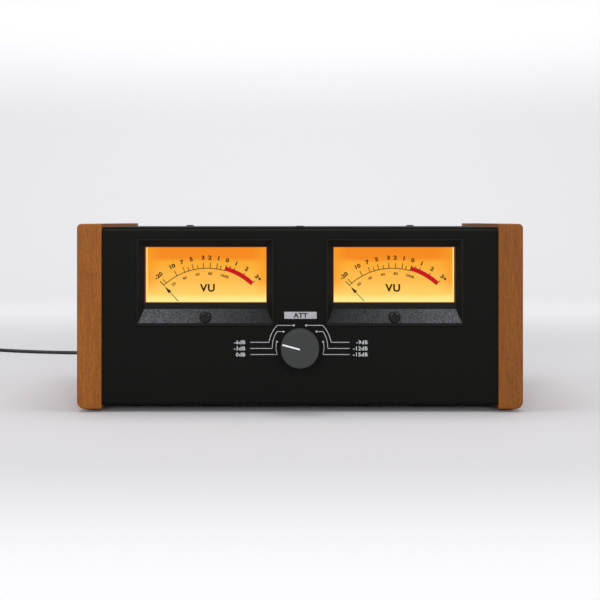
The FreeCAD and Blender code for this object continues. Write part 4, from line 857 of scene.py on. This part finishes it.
needle_paint = grained(
    "needle_paint", srgb(40, 16, 8), srgb(*needle_brown), 0.5, 0.6, 200, 3000, 0.01 * mm,
    Specular_IOR_Level=0.15,
)
dress(needle_paint, "needle_left", "needle_right")
button = grained(
    "polished_button", srgb(6, 6, 6), srgb(10, 10, 10), 0.12, 0.2, 60, 2500, 0.005 * mm,
    Specular_IOR_Level=0.3,
)
dress(button, "zero_screw_left", "zero_screw_right")


# Knob. Turned from matt dark grey plastic with a broken edge. A white line is let into its face, from the
# middle to the rim.
knob_grey = (58, 60, 59)
knob_line_angle = 165.0
knob_line_width = 1.1 * mm
knob_line_depth = 0.3 * mm
knob_line_reach = 12.2 * mm
knob_line_gap = 0.03 * mm
knob_line_start = 0.1 * mm
knob_line_short = 0.6 * mm
knob_line_lift = 0.01 * mm

knob_plastic = grained(
    "matt_knob", srgb(52, 54, 53), srgb(*knob_grey), 0.55, 0.68, 50, 2200, 0.03 * mm, Specular_IOR_Level=0.2
)
dress(knob_plastic, "knob")
line_white = grained("line_filler", srgb(225, 225, 235), srgb(240, 240, 248), 0.4, 0.5, 200, 3000, 0.01 * mm)
knob_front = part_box("knob")[0].y
heading = np.array([math.cos(math.radians(knob_line_angle)), math.sin(math.radians(knob_line_angle))])
reach = np.linspace(knob_line_start, knob_line_reach - knob_line_short, 2)[:, None] * heading
inlay = ribbon(
    reach + (knob_axis.x, knob_axis.z),
    knob_line_width - 2 * knob_line_gap,
    knob_line_depth - knob_line_gap - knob_line_lift,
    knob_front + knob_line_depth - knob_line_lift,
)
pointer = piece("knob_line", *inlay, line_white, smooth=False)
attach(pointer, "attenuator")


# Inside of the meters. Cases are black, lamps sit on narrow green boards, and the movement is of plated
# iron, a ground magnet, aluminium bridges and brass fittings.
case_black = grained("case_black", srgb(20, 20, 20), srgb(30, 30, 30), 0.5, 0.65, 40, 1500, 0.04 * mm)
laminate = grained("green_laminate", srgb(10, 52, 30), srgb(18, 74, 44), 0.35, 0.5, 60, 900, 0.02 * mm)
lamp_glass = glowing("lamp_lens", (255, 190, 90), 1.0)


def metal(name, dark, light, low, high, blotch, tooth, depth):
    """A bare metal between two tones, with wandering roughness and a fine tooth."""
    return grained(name, srgb(*dark), srgb(*light), low, high, blotch, tooth, depth, Metallic=1.0)


plated_iron = metal("plated_iron", (120, 120, 124), (150, 150, 152), 0.3, 0.45, 80, 2000, 0.02 * mm)
ground_magnet = metal("ground_magnet", (70, 70, 74), (92, 92, 95), 0.35, 0.5, 80, 2000, 0.02 * mm)
bare_aluminium = metal("bare_aluminium", (190, 190, 194), (215, 215, 218), 0.3, 0.42, 90, 2500, 0.01 * mm)
turned_brass = metal("turned_brass", (176, 138, 70), (205, 165, 92), 0.25, 0.38, 120, 2500, 0.01 * mm)
bright_steel = metal("bright_steel", (160, 160, 162), (190, 190, 192), 0.25, 0.4, 90, 2500, 0.01 * mm)
for side in ("left", "right"):
    dress(case_black, "meter_case_" + side)
    dress(laminate, "lamp_board_" + side)
    dress(plated_iron, "yoke_ring_" + side)
    dress(ground_magnet, "magnet_core_" + side)
    dress(bare_aluminium, "bridges_" + side, "moving_coil_" + side)
    dress(turned_brass, "hairspring_" + side, "zero_lever_" + side)
dress(lamp_glass, "lamps")
dress(turned_brass, "meter_nuts", "meter_terminals", "jewel_screws")
dress(bright_steel, "side_screws", "dial_screws")


# Rotary switch and driver board. They are the usual parts behind such a panel: a bushed wafer switch, a
# green board on brass posts, sleeved capacitors, chips and a finned heat sink.
sleeve_blue = grained("capacitor_sleeve", srgb(18, 22, 48), srgb(28, 34, 70), 0.25, 0.4, 60, 1500, 0.01 * mm)
chip_black = grained("chip_black", srgb(22, 22, 23), srgb(34, 34, 35), 0.5, 0.65, 100, 2500, 0.02 * mm)
switch_black = grained("switch_black", srgb(12, 12, 12), srgb(20, 20, 20), 0.3, 0.42, 60, 2000, 0.02 * mm)
dress(bare_aluminium, "switch_shaft")
dress(switch_black, "switch_body", "power_jack", "rocker_frame", "rocker")
dress(bright_steel, "switch_nut", "phono_nuts")
dress(laminate, "main_board")
dress(turned_brass, "board_standoffs")
dress(sleeve_blue, "board_capacitors")
dress(chip_black, "board_parts")


# Rear sockets. Four gold-plated phono sockets. The insulating rings about their contacts are red for the
# right channel and white for the left.
ring_inner = 1.9 * mm
ring_outer = 3.1 * mm
ring_proud = 0.05 * mm
ring_sunk = 0.01 * mm
ring_tones = {"red": ((150, 20, 24), (176, 30, 34)), "white": ((214, 212, 206), (232, 230, 224))}


def washer(centre, inner, outer, y, thickness, sides=32):
    """A flat ring: its section's four corners, turned about the socket's axis."""
    turn = np.radians(np.linspace(0, 360, sides, endpoint=False))
    section = ((inner, y), (inner, y + thickness), (outer, y + thickness), (outer, y))
    rings = [
        np.column_stack([centre[0] + r * np.cos(turn), 0 * turn + depth, centre[1] + r * np.sin(turn)])
        for r, depth in section
    ]
    return np.stack(rings), grid_faces(4, sides, round_rows=True, round_columns=True)


gold = metal("gold_plate", (205, 160, 84), (232, 190, 110), 0.15, 0.28, 120, 2500, 0.005 * mm)
dress(gold, "phono_sockets")
places = {m["name"]: Vector(m["pos_m"]) for m in frame["record"]["mounts"]}
sockets = {
    name: place for name, place in places.items() if name.startswith("phono") and "contact" not in name
}
socket_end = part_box("phono_sockets")[1].y
for tone, side in (("red", "right"), ("white", "left")):
    enamel = grained("ring_" + tone, *(srgb(*c) for c in ring_tones[tone]), 0.4, 0.5, 90, 2000, 0.01 * mm)
    rings = [
        washer((place.x, place.z), ring_inner, ring_outer, socket_end - ring_sunk, ring_proud)
        for name, place in sockets.items() if name.endswith(side)
    ]
    insulator = piece("socket_rings_" + side, *joined(rings), enamel, smooth=False)
    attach(insulator, "console")

size = {"cad": [list(corner) for corner in cad_box], "visual": [list(corner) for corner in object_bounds()]}
